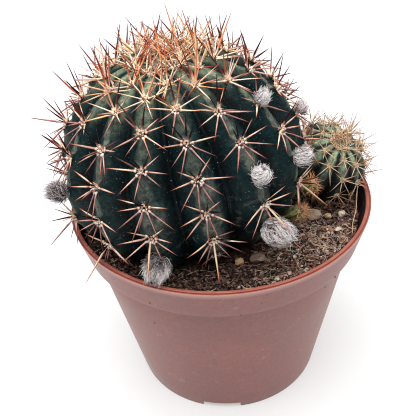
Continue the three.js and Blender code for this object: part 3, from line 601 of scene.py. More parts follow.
class Stem:
    """A ribbed stem: a leaning spheroid with grooves, and rows of areoles on its ribs.

    ribs holds an azimuth, the latitude of an areole and the spacing of areoles for each rib, and
    root the radius and height of each ring below the ribs. The skin turns young over the latitudes
    in fresh. side_share says whether the side ribs have narrower bands, and seed keeps the draws
    of stems apart.
    """

    def __init__(self, **sizes):
        self.__dict__.update(sizes)
        about_y = Matrix.Rotation(math.radians(self.lean_x), 3, "Y")
        about_x = Matrix.Rotation(math.radians(self.lean_y), 3, "X")
        self.turn = np.array(about_x @ about_y)
        self.axis = self.turn @ np.array([0.0, 0.0, 1.0])
        self.middle = np.array(self.centre, float)
        self.crests = np.array([rib[0] for rib in self.ribs], float)
        self.rows = [self.areole_rows(rib) for rib in self.ribs]

    def areole_rows(self, rib):
        """The index and latitude of a rib's areoles, which crowd together towards the crown."""
        _, middle, spacing = rib
        index = math.ceil((self.lowest_areole - middle) / spacing)
        latitude = middle + index * spacing
        gap = spacing
        rows = []
        while latitude < CROWN_EDGE:
            rows.append((index, latitude))
            if latitude > self.crowded_above:
                gap *= self.crowding if gap == spacing else CROWN_GAP_SHARE
            latitude += gap
            index += 1
        return rows

    def ribs_at(self, azimuth):
        """The share from crest to groove at an azimuth, the nearest rib and the side of its crest."""
        ends = np.append(self.crests, self.crests[0] + 360)
        wrapped = ends[0] + np.mod(azimuth - ends[0], 360)
        left = np.clip(np.searchsorted(ends, wrapped, side="right") - 1, 0, len(self.crests) - 1)
        part = (wrapped - ends[left]) / (ends[left + 1] - ends[left])
        rib = np.where(part < 0.5, left, (left + 1) % len(self.crests))
        return 1 - np.abs(2 * part - 1), rib, np.where(part < 0.5, 1, -1)

    def aside(self, rib):
        """How far round the side a rib is: 0 in front, and 1 from the second rib on."""
        away = np.abs((self.crests[rib] + 180) % 360 - 180)
        return self.side_share * smooth_step(18, 40, away)

    def relief(self, rib, latitude):
        """How a crest swells below each areole and dips above it, and how wide its pale band is."""
        swell = np.zeros(np.broadcast(rib, latitude).shape)
        widest = BAND_WIDEST * (1 - SIDE_NARROWING * self.aside(rib))
        band = swell + widest
        for index, rows in enumerate(self.rows):
            here = rib == index
            for _, at in rows:
                gap = self.ribs[index][2] * (1 - 0.6 * smooth_step(50, 84, at))
                off = (latitude - at) / gap
                swell += here * (np.exp(-(((off + 0.2) / 0.17) ** 2))
                                 - 0.8 * np.exp(-(((off - 0.17) / 0.12) ** 2)))
                pinch = np.where(
                    off < 0, smooth_step(-0.8, -0.08, off), smooth_step(0.16, 0.06, off))
                band -= here * (np.abs(off) < 0.85) * (widest - BAND_NARROWEST) * pinch
        band = np.maximum(band, BAND_NARROWEST)
        wider = 0.35 * smooth_step(8, 42, latitude) + 0.5 * smooth_step(54, 76, latitude)
        return swell, band * (1 + wider)

    def scuffs_and_sheen(self, share, rib, side, latitude):
        """How strong the patches below the areoles are, wider on one side of a crest: partly scuffing,
        partly painted sheen.
        """
        patch = np.zeros(np.broadcast(rib, latitude).shape)
        for index, rows in enumerate(self.rows):
            here = rib == index
            for row, at in rows:
                off = (latitude - at) / self.ribs[index][2]
                strength = 0.1 + 0.5 * draw(index, row, 71)
                reach = 0.3 + 0.4 * draw(index, row, 72)
                if (index, row) in self.scuffed_below:
                    strength, reach = 1.3, 0.7
                across = 1 - smooth_step(0.35, 1, share / reach / np.where(side > 0, 1, 0.5))
                patch += here * strength * across * np.exp(-(((off + 0.45) / 0.34) ** 2))
        return np.minimum(patch, 1)

    def local(self, azimuth, latitude, lift=0.0, fine=False):
        """Points in the stem's own frame: on the solid, or on the finer skin with its swellings."""
        azimuth, latitude = np.broadcast_arrays(
            np.asarray(azimuth, float), np.asarray(latitude, float))
        f = np.radians(latitude)
        half = np.where(latitude > 0, self.upper, self.lower)
        fade = smooth_step(self.smooth_below, self.smooth_below + 12, latitude)
        depth = self.groove_depth * np.cos(f) ** 0.85 * fade
        share, rib, _ = self.ribs_at(azimuth)
        power = GROOVE_POWER
        across = (self.radius + lift) * np.cos(f)
        if fine:
            swell, _ = self.relief(rib, latitude)
            swell = swell * (1 + 1.3 * smooth_step(18, 46, latitude))
            power = FINE_GROOVE_POWER
            depth = depth * FINE_GROOVE_SHARE
            across = across + self.swelling * swell * fade * (1 - share) ** 2
        across = across - depth * share**power
        near_axis = np.maximum(0, 1 - (across / self.crown_radius) ** 2)
        dip = np.where(latitude > 0, self.crown_dip * near_axis, 0)
        return ring(across, (half + lift) * np.sin(f) - dip, np.radians(azimuth))

    def place(self, local):
        """Points of the stem's own frame in the frame of the pot."""
        return local @ self.turn.T + self.middle

    def point(self, azimuth, latitude, lift=0.0, fine=False):
        """The same points as local gives, in the frame of the pot."""
        return self.place(self.local(azimuth, latitude, lift, fine))

    def areole_frame(self, azimuth, latitude):
        """Where an areole is, outwards, up the rib and sideways."""
        place = self.point(azimuth, latitude)
        along = unit(self.point(azimuth, latitude + 1) - self.point(azimuth, latitude - 1))
        from_axis = place - self.middle
        from_axis = from_axis - self.axis * (from_axis @ self.axis)
        side = unit(np.cross(self.axis, from_axis))
        return place, unit(np.cross(side, along)), along, side

    def areoles(self):
        """Every areole that the construction has. axes are its place, out, up the rib, sideways."""
        for rib, rows in enumerate(self.rows):
            azimuth = self.crests[rib]
            for index, latitude in rows:
                place = self.point(azimuth, latitude, self.pad_height)
                if self.covered(place) or blocked_by_pot(place):
                    continue
                axes = self.areole_frame(azimuth, latitude)
                yield Areole(rib, index, latitude, axes, self.seed + 40 * rib + index)

    def covered(self, point, clearance=PAD_CLEARANCE):
        """Whether another stem covers a point, or comes nearer to it than the clearance."""
        return any(stem is not self and stem.inside(point, clearance) for stem in STEMS)

    def inside(self, point, margin):
        """Whether a point is in the stem's own spheroid, a margin larger."""
        local = (point - self.middle) @ self.turn
        half = max(self.upper, self.lower) + margin
        across = self.radius + margin
        return (local[0] ** 2 + local[1] ** 2) / across**2 + local[2] ** 2 / half**2 < 1

    def body(self, name, material, slot, columns_per_rib, latitudes):
        """The skin: a fine closed mesh, with what its material reads at each point."""
        ends = np.append(self.crests, self.crests[0] + 360)
        even = 2 * np.arange(columns_per_rib) / columns_per_rib
        shares = np.where(
            even < 1, even**COLUMN_CROWDING, 2 - (2 - even) ** COLUMN_CROWDING) / 2
        azimuths = (ends[:-1, None] + np.diff(ends)[:, None] * shares).ravel()
        count = len(azimuths)
        rows = [self.point(azimuths, latitude, fine=True) for latitude in latitudes]
        t = np.radians(azimuths)
        rows += [self.place(ring(radius, height, t)) for radius, height in self.root]
        faces = closed_faces(len(rows), count)
        ends_on_axis = [(0, 0, self.upper - self.crown_dip), (0, 0, self.root[-1][1])]
        points = np.vstack([*rows, self.place(np.array(ends_on_axis))])
        share, rib, side = self.ribs_at(azimuths)
        # Painted light, strongest on one side of each crest and fading towards the groove.
        lit = np.where(side > 0, 1 - smooth_step(0.15, 0.8, share), 0.25 * (1 - share))
        bands = [self.relief(rib, latitude)[1] for latitude in latitudes]
        scuffs_and_sheen = [self.scuffs_and_sheen(share, rib, side, latitude) for latitude in latitudes]
        on_root = len(self.root) * count
        every_latitude = np.concatenate(
            [np.repeat(latitudes, count), np.full(on_root, ROOT_LATITUDE), [90, -90]])
        wave = fractal(points, 14, 2, 3)
        return add_piece(name, points, faces, material, slot, values={
            "groove": np.append(np.tile(share, len(rows)), [0, 0]),
            "band": np.concatenate(
                [*bands, np.full(on_root, BAND_NARROWEST), [BAND_WIDEST, 0]]),
            "fresh": smooth_step(*self.fresh, every_latitude + 6 * wave),
            "old": smooth_step(34, -16, every_latitude + 10 * wave),
            "scuffed_and_sheen": np.concatenate([*scuffs_and_sheen, np.zeros(on_root + 2)]),
            "lit": np.append(np.tile(lit, len(rows)), [0.5, 0]),
            "aside": np.append(np.tile(self.aside(rib), len(rows)), [0, 0]),
        })


MAIN = Stem(
    seed=20,
    centre=(-13.4, -3.4, 103.3),
    lean_x=-7.3,
    lean_y=3,
    radius=46.4,
    upper=43.3,
    lower=36,
    groove_depth=6.2,
    crown_dip=2.2,
    crown_radius=11,
    smooth_below=-52,
    root=[(9, -38), (5, -46)],
    ribs=[
        (-93.4, -0.5, 16.2),
        (-62.6, -4.6, 17.2),
        (-37.8, -9.3, 16.6),
        (-12.9, 2, 15.7),
        (12.4, -5, 15.6),
        (38.4, 2, 15.7),
        (64.5, -7.2, 16),
        (91.2, 0, 16.4),
        (116.3, -8, 16.2),
        (141.4, 0, 16.2),
        (166.5, -8, 16.2),
        (191.5, 0, 16.2),
        (216.5, -8, 16.2),
        (241.6, 0, 16.2),
    ],
    lowest_areole=-26,
    crowding=0.86,
    crowded_above=56,
    pad_height=0.9,
    swelling=0.75,
    side_share=1,
    fresh=(42, 74),
    scuffed_below=[(4, 0), (4, 1), (4, 2), (3, 1), (5, 2)],
)

OFFSET = Stem(
    seed=1020,
    centre=(42.8, 6.2, 92.2),
    lean_x=18,
    lean_y=26,
    radius=16.4,
    upper=15.5,
    lower=13.5,
    groove_depth=1.9,
    crown_dip=0.8,
    crown_radius=4,
    smooth_below=-70,
    root=[(4.6, -16), (3.4, -24)],
    ribs=[(-155 + i * 360 / 11, 7 if i % 2 else -6, 28) for i in range(11)],
    lowest_areole=-25,
    crowding=0.8,
    crowded_above=50,
    pad_height=0.6,
    swelling=0.4,
    side_share=0,
    fresh=(26, 64),
    scuffed_below=[],
)


def young_stem(seed, **sizes):
    """An offset that has only just sprouted."""
    return Stem(
        seed=seed,
        groove_depth=0.45,
        crown_dip=0.1,
        crown_radius=0.8,
        smooth_below=-80,
        ribs=[(i * 60, 2 if i % 2 else 24, 40) for i in range(6)],
        lowest_areole=0,
        crowding=0.8,
        crowded_above=45,
        pad_height=0.35,
        swelling=0.15,
        side_share=0,
        fresh=(-60, 40),
        scuffed_below=[],
        **sizes,
    )


SMALL_UPPER = young_stem(
    2020, centre=(33.9, -10.6, 92.4), lean_x=30, lean_y=22, radius=3.4, upper=3.5, lower=4.6,
    root=[(2.2, -5.4), (1.5, -7)])
SMALL_LOWER = young_stem(
    3020, centre=(28.1, -21.3, 88), lean_x=55, lean_y=26, radius=3, upper=3.6, lower=4.4,
    root=[(2.4, -6), (1.8, -8)])
STEMS = [MAIN, OFFSET, SMALL_UPPER, SMALL_LOWER]


def blocked_by_pot(point):
    """Whether a point is in the way of the pot's rim, or in the soil."""
    radius = math.hypot(point[0], point[1])
    rim_from = RIM_INNER_RADIUS - RIM_CLEARANCE - SPINE_CLEARANCE
    over_rim = rim_from < radius < RIM_RADIUS + SPINE_CLEARANCE
    low_in_pot = SOIL_LEVEL + SOIL_CLEARANCE + SPINE_CLEARANCE
    in_pot = radius < RIM_INNER_RADIUS and point[2] < low_in_pot
    return (over_rim and point[2] < POT_HEIGHT + SPINE_CLEARANCE) or in_pot


# Woolly buds: the rib, the areole counted from the one nearest the rib's middle, the way the bud
# points (sideways, up the rib, outwards), its length and width, how curly its wool is, the share of it
# that fans out, and how white it is. Where a bud is unlike the others, shadow darkens hairs on its
# upper side as painted shade, gaps adds dark hairs that stand for the shade between its locks, also
# painted shade, and locks is its number of locks.
WOOL_BUDS = [
    dict(rib=5, areole=1, points=(0, 0.75, 1), length=7.4, width=6.4, curl=0.2, flare=0.08,
         white=1.7),
    dict(rib=6, areole=1, points=(0.5, 0.7, 1), length=7, width=5.8, curl=0.3, flare=0.25,
         white=1.6),
    dict(rib=5, areole=-1, points=(0.75, -0.1, 1), length=12, width=8.6, curl=1.0, flare=0.12,
         white=1.1, gaps=-0.05, locks=84),
    dict(rib=3, areole=-1, points=(-0.1, -0.1, 1), length=9.6, width=8.6, curl=0.6, flare=0.85,
         white=2.8, shadow=0.85, gaps=0.1),
    dict(rib=1, areole=1, points=(-0.6, -0.1, 1), length=8, width=6.6, curl=0.8, flare=0.7,
         white=0.62, gaps=0.15),
    dict(rib=6, areole=3, points=(-0.1, 0.5, 1), length=6.4, width=5, curl=0.3, flare=0.3,
         white=2.5),
    dict(rib=7, areole=1, points=(0.1, 0.8, 0.7), length=5.2, width=4.2, curl=0.4, flare=0.9,
         white=1.2),
]

# How far a bud's foot stands off its pad as a share of its width, how it tapers to the tip, and
# how far spines keep from it.
BUD_SEAT_SHARE = 0.35
BUD_TAPER = 0.18
BUD_CLEARANCE = 1.0


def bud_place(bud):
    """The middle of a bud and the way it points."""
    latitude = dict(MAIN.rows[bud["rib"]])[bud["areole"]]
    place, out, along, side = MAIN.areole_frame(MAIN.crests[bud["rib"]], latitude)
    sideways, upwards, outwards = bud["points"]
    axis = unit(side * sideways + along * upwards + out * outwards)
    lift = MAIN.pad_height + BUD_SEAT_SHARE * bud["width"]
    return place + out * lift + axis * (bud["length"] - bud["width"]) / 2, axis


BUD_PLACES = [bud_place(bud) for bud in WOOL_BUDS]


def inside_bud(point):
    """Whether a point is in a bud, or too near to one for a spine."""
    for bud, (centre, axis) in zip(WOOL_BUDS, BUD_PLACES):
        away = point - centre
        up = away @ axis
        across = np.linalg.norm(away - axis * up)
        half_length = bud["length"] / 2 + BUD_CLEARANCE
        half_width = bud["width"] / 2 + BUD_CLEARANCE
        if (up / half_length) ** 2 + (across / half_width) ** 2 < 1:
            return True
    return False


# Spines

# A spine's foot is a bead this far along, in millimetres, if it has its full radius. The rest are
# shares of the shaft's length.
BEAD_NODES = np.array([0.0, 0.3, 0.7, 1.1])
BEAD_SWELL = np.array([0.75, 1.0, 0.92, 0.56])
FULL_BEAD_RADIUS = 0.4
SHAFT_NODES = np.array([0.16, 0.4, 0.66, 0.87, 1.0])
SHAFT_TAPER = np.array([1.0, 0.82, 0.58, 0.32, 0.03])

# A spine with something in its way is tried again, each time so many degrees steeper and by such a
# share shorter, and left out after the last try.
SPINE_TRIES = 7
STEEPER = 7
SHORTER = 0.09
STEEPEST = 86

# What a spine's colours are multiplied by as painted shade on the side away from the light and as
# painted highlight on the side towards it, and how far these differ at each of its nodes.
SPINE_PAINTED_SHADE = (0.2, 0.09, 0.085)
SPINE_PAINTED_HIGHLIGHT = (1.5, 1.34, 1.42)
SPINE_CONTRAST = [0.35, 0.35, 0.4, 0.7, 1, 1, 1, 1, 1]

# Colours along a spine, from the bead at its foot to its tip.
BEAD = [(0, (180, 142, 112)), (0.03, (236, 208, 180)), (0.08, (224, 192, 162))]
PALE_BEAD = [(0, (160, 132, 120)), (0.03, (240, 218, 200)), (0.08, (226, 202, 188))]
CREAM = BEAD + [(0.12, (150, 98, 78)), (0.25, (214, 184, 154)), (0.5, (228, 202, 176)),
                (0.72, (192, 130, 102)), (0.88, (116, 62, 52)), (1, (44, 26, 28))]
PINK = PALE_BEAD + [(0.12, (92, 56, 58)), (0.3, (150, 112, 106)), (0.55, (152, 108, 96)),
                    (0.8, (100, 54, 50)), (1, (34, 20, 24))]
DARK = BEAD + [(0.11, (24, 10, 12)), (0.2, (13, 6, 8)), (0.6, (9, 5, 6)), (1, (6, 4, 5))]
RED = BEAD + [(0.12, (156, 80, 54)), (0.35, (142, 56, 42)), (0.7, (84, 28, 27)),
              (1, (20, 11, 13))]
GOLD = BEAD + [(0.12, (210, 160, 112)), (0.4, (240, 200, 146)), (0.7, (214, 148, 94)),
               (0.9, (136, 66, 42)), (1, (56, 28, 25))]
PALE = BEAD + [(0.12, (216, 182, 158)), (0.3, (236, 216, 200)), (0.62, (228, 196, 176)),
               (0.82, (196, 132, 108)), (1, (96, 50, 44))]
AMBER = BEAD + [(0.12, (184, 116, 68)), (0.4, (214, 146, 90)), (0.7, (188, 102, 56)),
                (1, (112, 44, 30))]
TUFT = [(0, (120, 84, 66)), (0.3, (242, 214, 180)), (0.8, (236, 206, 172)), (1, (222, 188, 154))]
PALE_TUFT = [(0, (120, 96, 92)), (0.3, (244, 224, 208)), (0.8, (238, 216, 204)),
             (1, (224, 198, 186))]
TAN = BEAD + [(0.12, (206, 160, 124)), (0.3, (232, 208, 178)), (0.62, (220, 182, 148)),
              (0.82, (188, 128, 98)), (1, (100, 54, 42))]
HANGING = BEAD + [(0.12, (196, 154, 118)), (0.3, (236, 210, 176)), (0.65, (222, 170, 122)),
                  (0.9, (160, 102, 74)), (1, (70, 44, 38))]
STRAW = BEAD + [(0.12, (180, 140, 108)), (0.35, (222, 196, 160)), (0.7, (192, 142, 106)),
                (1, (96, 54, 44))]


def spine_is_free(stem, root, tip):
    """Whether a spine keeps clear of the pot, the soil, the buds and the other stems."""
    for share in np.linspace(0.15, 1, 12):
        point = root + (tip - root) * share
        if blocked_by_pot(point) or inside_bud(point) or stem.covered(point, STEM_CLEARANCE):
            return False
    return True


def add_spine(strands, stem, axes, seat, around, rise, length, radius, colours, seed):
    """One spine: leans as asked, or steeper and shorter where something is in its way.

    seat is how far along the skin and how high its foot is. around is its way over the skin in
    degrees from up the rib, and rise is in degrees from the skin. radius holds those of its bead
    and its shaft, and colours is a ramp along it.
    """
    place, out, along, side = axes
    turn = math.radians(around)
    way = along * math.cos(turn) + side * math.sin(turn)
    root = place + way * seat[0] + out * seat[1]
    for attempt in range(SPINE_TRIES):
        lifted = math.radians(min(STEEPEST, rise + STEEPER * attempt))
        direction = way * math.cos(lifted) + out * math.sin(lifted)
        reach = length * (1 - SHORTER * attempt)
        if spine_is_free(stem, root, root + direction * reach):
            break
    else:
        return
    bend = unit(np.cross(direction, along + side * (draw(seed, 4, 1) - 0.5)))
    bow = out * (0.1 * (draw(seed, 4, 2) - 0.35)) + bend * 0.07 * (draw(seed, 4, 3) - 0.5)
    bead_length = BEAD_NODES[-1] * min(1, radius[0] / FULL_BEAD_RADIUS)
    bead = BEAD_NODES / BEAD_NODES[-1] * bead_length
    shaft = bead_length + (reach - bead_length) * SHAFT_NODES
    share = (np.concatenate([bead, shaft]) / reach)[:, None]
    path = root + direction * reach * share + bow * reach * share * (1 - share) * 1.6
    thick = np.concatenate([radius[0] * BEAD_SWELL, radius[1] * SHAFT_TAPER])
    strands.add(path, thick * (1 + 0.16 * (draw(seed, 4, 4) - 0.5)), colours(share[:, 0]))


def blended(first, second, part, shade=1.0):
    """A spine's colours: a blend of two ramps, with its own shade."""
    return lambda share: np.minimum(
        (ramp(first, share) * (1 - part) + ramp(second, share) * part) * shade, 0.9)


def faded(first, second, part):
    """Goes from one spine's colours to another's."""
    return lambda share: first(share) * (1 - part) + second(share) * part


def pick(choices, share):
    """The choice at a share of the way through a list."""
    return choices[int(share * len(choices))]


# Small beads of horn in an areole, and the loose spines that an areole adds to the crown's mat.
BEADS = 9
CROWN_MAT = 3

# The colours that young spines take at the crown, the commonest ones named more than once.
CROWN_RAMPS = [TAN, TAN, TAN, PALE, PALE, GOLD, GOLD, AMBER, RED]
CROWN_CENTRAL_RAMPS = [AMBER, RED, GOLD, AMBER, TAN]

# The ways round an areole that its radial spines take, in degrees from up the rib. Some of those
# that are nearer to it than TOP_RADIALS are dark.
RADIAL_WAYS = [52, 90, 126, 161, -163, -128, -92, -54]
TOP_RADIALS = 74.5

# Below this latitude the main stem's spines are worn down.
WORN_BELOW = -14

# Long spines that stand out: rib and areole, with the way round, the rise, the length and the
# colours of each.
LONG_SPINES = {
    (4, 0): (-170, 30, 16.5, HANGING),
    (5, 0): (170, 30, 16, HANGING),
    (6, 0): (158, 38, 17.5, HANGING),
    (2, 0): (-150, 50, 17, HANGING),
    (1, 0): (-155, 52, 16.5, PINK),
    (1, 1): (-148, 42, 16, CREAM),
    (6, 1): (148, 40, 15.5, PINK),
    (7, 1): (148, 50, 15, PINK),
    (0, 2): (-146, 58, 16, PINK),
    (0, 3): (-104, 60, 15, RED),
    (0, 4): (-112, 60, 14.5, RED),
    (7, 5): (88, 62, 19, AMBER),
    (4, 6): (12, 62, 19, AMBER),
    (7, 4): (112, 60, 16, AMBER),
    (6, 5): (40, 62, 16, GOLD),
}


def worn_spines(strands, areole):
    """The few short spines left on the lowest areoles."""
    seed = areole.seed
    for k in range(0, len(RADIAL_WAYS), 2):
        around = RADIAL_WAYS[k] + 30 * (draw(seed, k, 1) - 0.5)
        length = between((4, 6.5), draw(seed, k, 3))
        colours = blended(PINK, DARK, draw(seed, k, 4), 0.8)
        add_spine(strands, MAIN, areole.axes, (1.2, 0.3), around, 20, length, (0.36, 0.24), colours,
                  seed * 20 + k)


def bead_cluster(strands, areole, crown):
    """Small beads of horn between the feet of the spines: tan above, pale below."""
    seed = areole.seed
    for k in range(BEADS):
        around = 360 * (k + draw(seed, k, 41)) / BEADS
        away = (0.2 + 1.0 * draw(seed, k, 42)) * (1 - 0.4 * crown)
        paleness = 0.5 - 0.5 * math.cos(math.radians(around))
        colours = blended(TUFT, PALE_TUFT, paleness, 0.85 + 0.3 * draw(seed, k, 43))
        rise = 50 + 34 * draw(seed, k, 44)
        length = 1.1 + 0.5 * draw(seed, k, 45)
        thick = (between((0.3, 0.44), draw(seed, k, 46)), 0.26)
        add_spine(strands, MAIN, areole.axes, (away, 0.2), around, rise, length, thick, colours,
                  seed * 20 + 700 + k)


def radial_spines(strands, areole, crown, top):
    """The star of spines that lie low over the skin, short at its top and pink at its foot."""
    seed = areole.seed
    skipped = int(draw(seed, 30, 1) * len(RADIAL_WAYS)) if draw(seed, 30, 2) < 0.6 else -1
    for k, way in enumerate(RADIAL_WAYS):
        if k == skipped or draw(seed, k, 19) < 0.25 * crown + 0.5 * top:
            continue
        around = way + 20 * (draw(seed, k, 1) - 0.5) + 26 * crown * (draw(seed, k, 20) - 0.5)
        rise = 10 + 20 * draw(seed, k, 2) + 26 * crown * draw(seed, k, 8)
        downward = 0.5 - 0.5 * math.cos(math.radians(around))
        length = between((8, 11.6), draw(seed, k, 3)) * (0.72 + 0.34 * min(1, 1.7 * downward))
        length = length * (1 + 0.05 * crown)
        pinkness = min(1, max(0, 1.4 * downward**2 - 0.25 + 0.9 * (draw(seed, k, 4) - 0.5)))
        colours = blended(CREAM, PINK, pinkness, 0.8 + 0.35 * draw(seed, k, 5))
        if abs(around) < TOP_RADIALS and draw(seed, k, 21) < 0.35:
            colours = blended(DARK, PINK, draw(seed, k, 22), 0.9)
        if draw(seed, k, 24) < crown:
            colours = blended(
                pick(CROWN_RAMPS, draw(seed, k, 6)), TAN, 0.4 * draw(seed, k, 25), 1.12)
        thick = (between((0.42, 0.56), draw(seed, k, 9)) - 0.1 * crown,
                 between((0.25, 0.35), draw(seed, k, 7)) - 0.05 * crown)
        add_spine(strands, MAIN, areole.axes, (1.5 * (1 - 0.4 * crown), 0.35), around, rise, length,
                  thick, colours, seed * 20 + k)


def crown_mat(strands, areole, crown):
    """Tan spines that cross each other all ways round the crown."""
    seed = areole.seed
    for k in range(CROWN_MAT):
        if draw(seed, k, 51) > crown:
            continue
        colours = blended(pick(CROWN_RAMPS, draw(seed, k, 53)), TAN, 0.5 * draw(seed, k, 54),
                          0.95 + 0.3 * draw(seed, k, 55))
        rise = 14 + 40 * draw(seed, k, 56)
        length = between((7, 11.5), draw(seed, k, 57))
        thick = (0.36, between((0.22, 0.3), draw(seed, k, 58)))
        add_spine(strands, MAIN, areole.axes, (0.9, 0.4), 360 * draw(seed, k, 52), rise, length, thick,
                  colours, seed * 20 + 900 + k)


def central_spines(strands, areole, crown, top):
    """The spines that stand up from an areole: nearly black, redder at the sides and the crown."""
    seed = areole.seed
    upper = smooth_step(8, 44, areole.latitude)
    aside = smooth_step(42, 70, abs((MAIN.crests[areole.rib] + 180) % 360 - 180))
    count = 2 + (draw(seed, 31, 1) < 0.4 + 0.3 * upper) - (top > 0.5)
    for k in range(count):
        around = ((k + 0.5) / count - 0.5) * 125 + 30 * (draw(seed, k, 11) - 0.5)
        rise = between((36, 64), draw(seed, k, 12))
        length = between((7, 10.5), draw(seed, k, 13)) + 3 * upper + 5.5 * crown * draw(seed, k, 14)
        redness = 0.3 * smooth_step(40, 60, areole.latitude) * draw(seed, k, 15) + 0.65 * crown
        redness = min(1, redness + 0.8 * aside * draw(seed, k, 26))
        colours = blended(DARK, RED, redness, 0.9 + 0.3 * draw(seed, k, 16))
        fresh = blended(
            pick(CROWN_CENTRAL_RAMPS, draw(seed, k, 17)), TAN, 0.3 * draw(seed, k, 24), 1.15)
        colours = faded(colours, fresh, min(1, crown * (draw(seed, k, 18) < 0.5) + top))
        thick = between((0.3, 0.42), draw(seed, k, 23)) - 0.06 * top
        add_spine(strands, MAIN, areole.axes, (0.7, 0.5), around, rise, length, (0.44, thick), colours,
                  seed * 20 + 10 + k)


def lowest_spine(strands, areole, crown, top):
    """The spine at an areole's foot: a long one, a hanging one or a short upright one."""
    seed = areole.seed
    if areole[:2] in LONG_SPINES:
        around, rise, length, shades = LONG_SPINES[areole[:2]]
        colours = blended(shades, shades, 0)
    elif areole.latitude < 6:
        around, rise = 180 + 50 * (draw(seed, 21, 6) - 0.5), 36
        length = between((13, 17), draw(seed, 21, 5))
        colours = blended(HANGING, PINK, 0.35 * draw(seed, 21, 7))
    elif draw(seed, 21, 9) < 0.6 * top:
        return
    else:
        around, rise = 180 + 60 * (draw(seed, 21, 6) - 0.5), 58
        length = between((6, 9), draw(seed, 21, 5)) + 4 * crown
        colours = faded(blended(DARK, PINK, draw(seed, 21, 8)), blended(GOLD, PALE, 0.4), crown)
    add_spine(strands, MAIN, areole.axes, (0.5, 0.8), around, rise, length, (0.5, 0.4), colours,
              seed * 20 + 17)


def main_spines(strands, areole):
    """The spines of one areole of the main stem."""
    if areole.latitude < WORN_BELOW:
        worn_spines(strands, areole)
        return
    crown = smooth_step(46, 72, areole.latitude)
    top = smooth_step(62, 80, areole.latitude)
    bead_cluster(strands, areole, crown)
    radial_spines(strands, areole, crown, top)
    crown_mat(strands, areole, crown)
    central_spines(strands, areole, crown, top)
    lowest_spine(strands, areole, crown, top)


def offset_spines(strands, areole):
    """The denser, finer spines of one areole of the offset."""
    seed = areole.seed
    crown = smooth_step(20, 70, areole.latitude)
    for k in range(7):
        around = k * 51 + 34 * (draw(seed, k, 1) - 0.5)
        rise = 10 + 22 * draw(seed, k, 2) + 12 * crown
        length = between((4.4, 9.4), draw(seed, k, 3))
        colours = blended(STRAW, PALE, draw(seed, k, 4), 0.8 + 0.4 * draw(seed, k, 5))
        colours = faded(blended(PINK, STRAW, draw(seed, k, 7), 0.62), colours,
                        smooth_step(-10, 44, areole.latitude))
        add_spine(strands, OFFSET, areole.axes, (0.6, 0.25), around, rise, length, (0.26, 0.17),
                  colours, seed * 20 + k)
    for k in range(1 + (draw(seed, 9, 1) < 0.4 + 0.4 * crown)):
        around = k * 120 + 80 * (draw(seed, k, 11) - 0.5)
        rise = 56 + 20 * draw(seed, k, 12)
        length = between((5.5, 9), draw(seed, k, 13))
        colours = blended(RED, GOLD, 0.4 + 0.6 * crown * draw(seed, k, 14), 0.9)
        add_spine(strands, OFFSET, areole.axes, (0.3, 0.4), around, rise, length, (0.26, 0.2), colours,
                  seed * 20 + 12 + k)


def young_spines(strands, stem, areole):
    """The short, close spines of one areole of an offset that has just sprouted."""
    seed = areole.seed
    for k in range(8):
        around = k * 45 + 24 * (draw(seed, k, 1) - 0.5)
        rise = 16 + 40 * draw(seed, k, 2) * (k % 3 == 0)
        length = between((2.6, 4.8), draw(seed, k, 3))
        colours = blended(GOLD, PINK, 0.35 * draw(seed, k, 4))
        add_spine(strands, stem, areole.axes, (0.3, 0.1), around, rise, length, (0.16, 0.11), colours,
                  seed * 20 + k)


def crown_tuft(strands, stem, count, reach, lengths, radius, seed):
    """Young spines that stand round the middle of a crown, up to reach degrees from it."""
    for k in range(count):
        azimuth = 360 * draw(seed, k, 1)
        latitude = 90 - reach * math.sqrt(draw(seed, k, 2))
        colours = blended(pick(CROWN_RAMPS, draw(seed, k, 8)), TAN, 0.4 * draw(seed, k, 3),
                          0.95 + 0.3 * draw(seed, k, 4))
        rise = 22 + 58 * draw(seed, k, 6)
        thick = radius * between((0.75, 1.25), draw(seed, k, 9))
        add_spine(strands, stem, stem.areole_frame(azimuth, latitude), (0.2, 0),
                  360 * draw(seed, k, 5), rise, between(lengths, draw(seed, k, 7)),
                  (thick * 1.25, thick), colours, seed * 100 + k)


# Felt

# A pad of felt is a low dome, whose edge sinks this far into the skin.
DOME_RINGS = 4
DOME_SIDES = 12
FELT_SINKS = 0.25
FELT_TAN = linear(190, 160, 116)

# Its hairs: the shares of their length at which they have a node, and how thick they are there.
FELT_HAIR_NODES = np.array([0.0, 0.5, 1.0])
FELT_HAIR_RADII = np.array([0.1, 0.075, 0.02])
FELT_HAIR_TINT = linear(214, 202, 194)


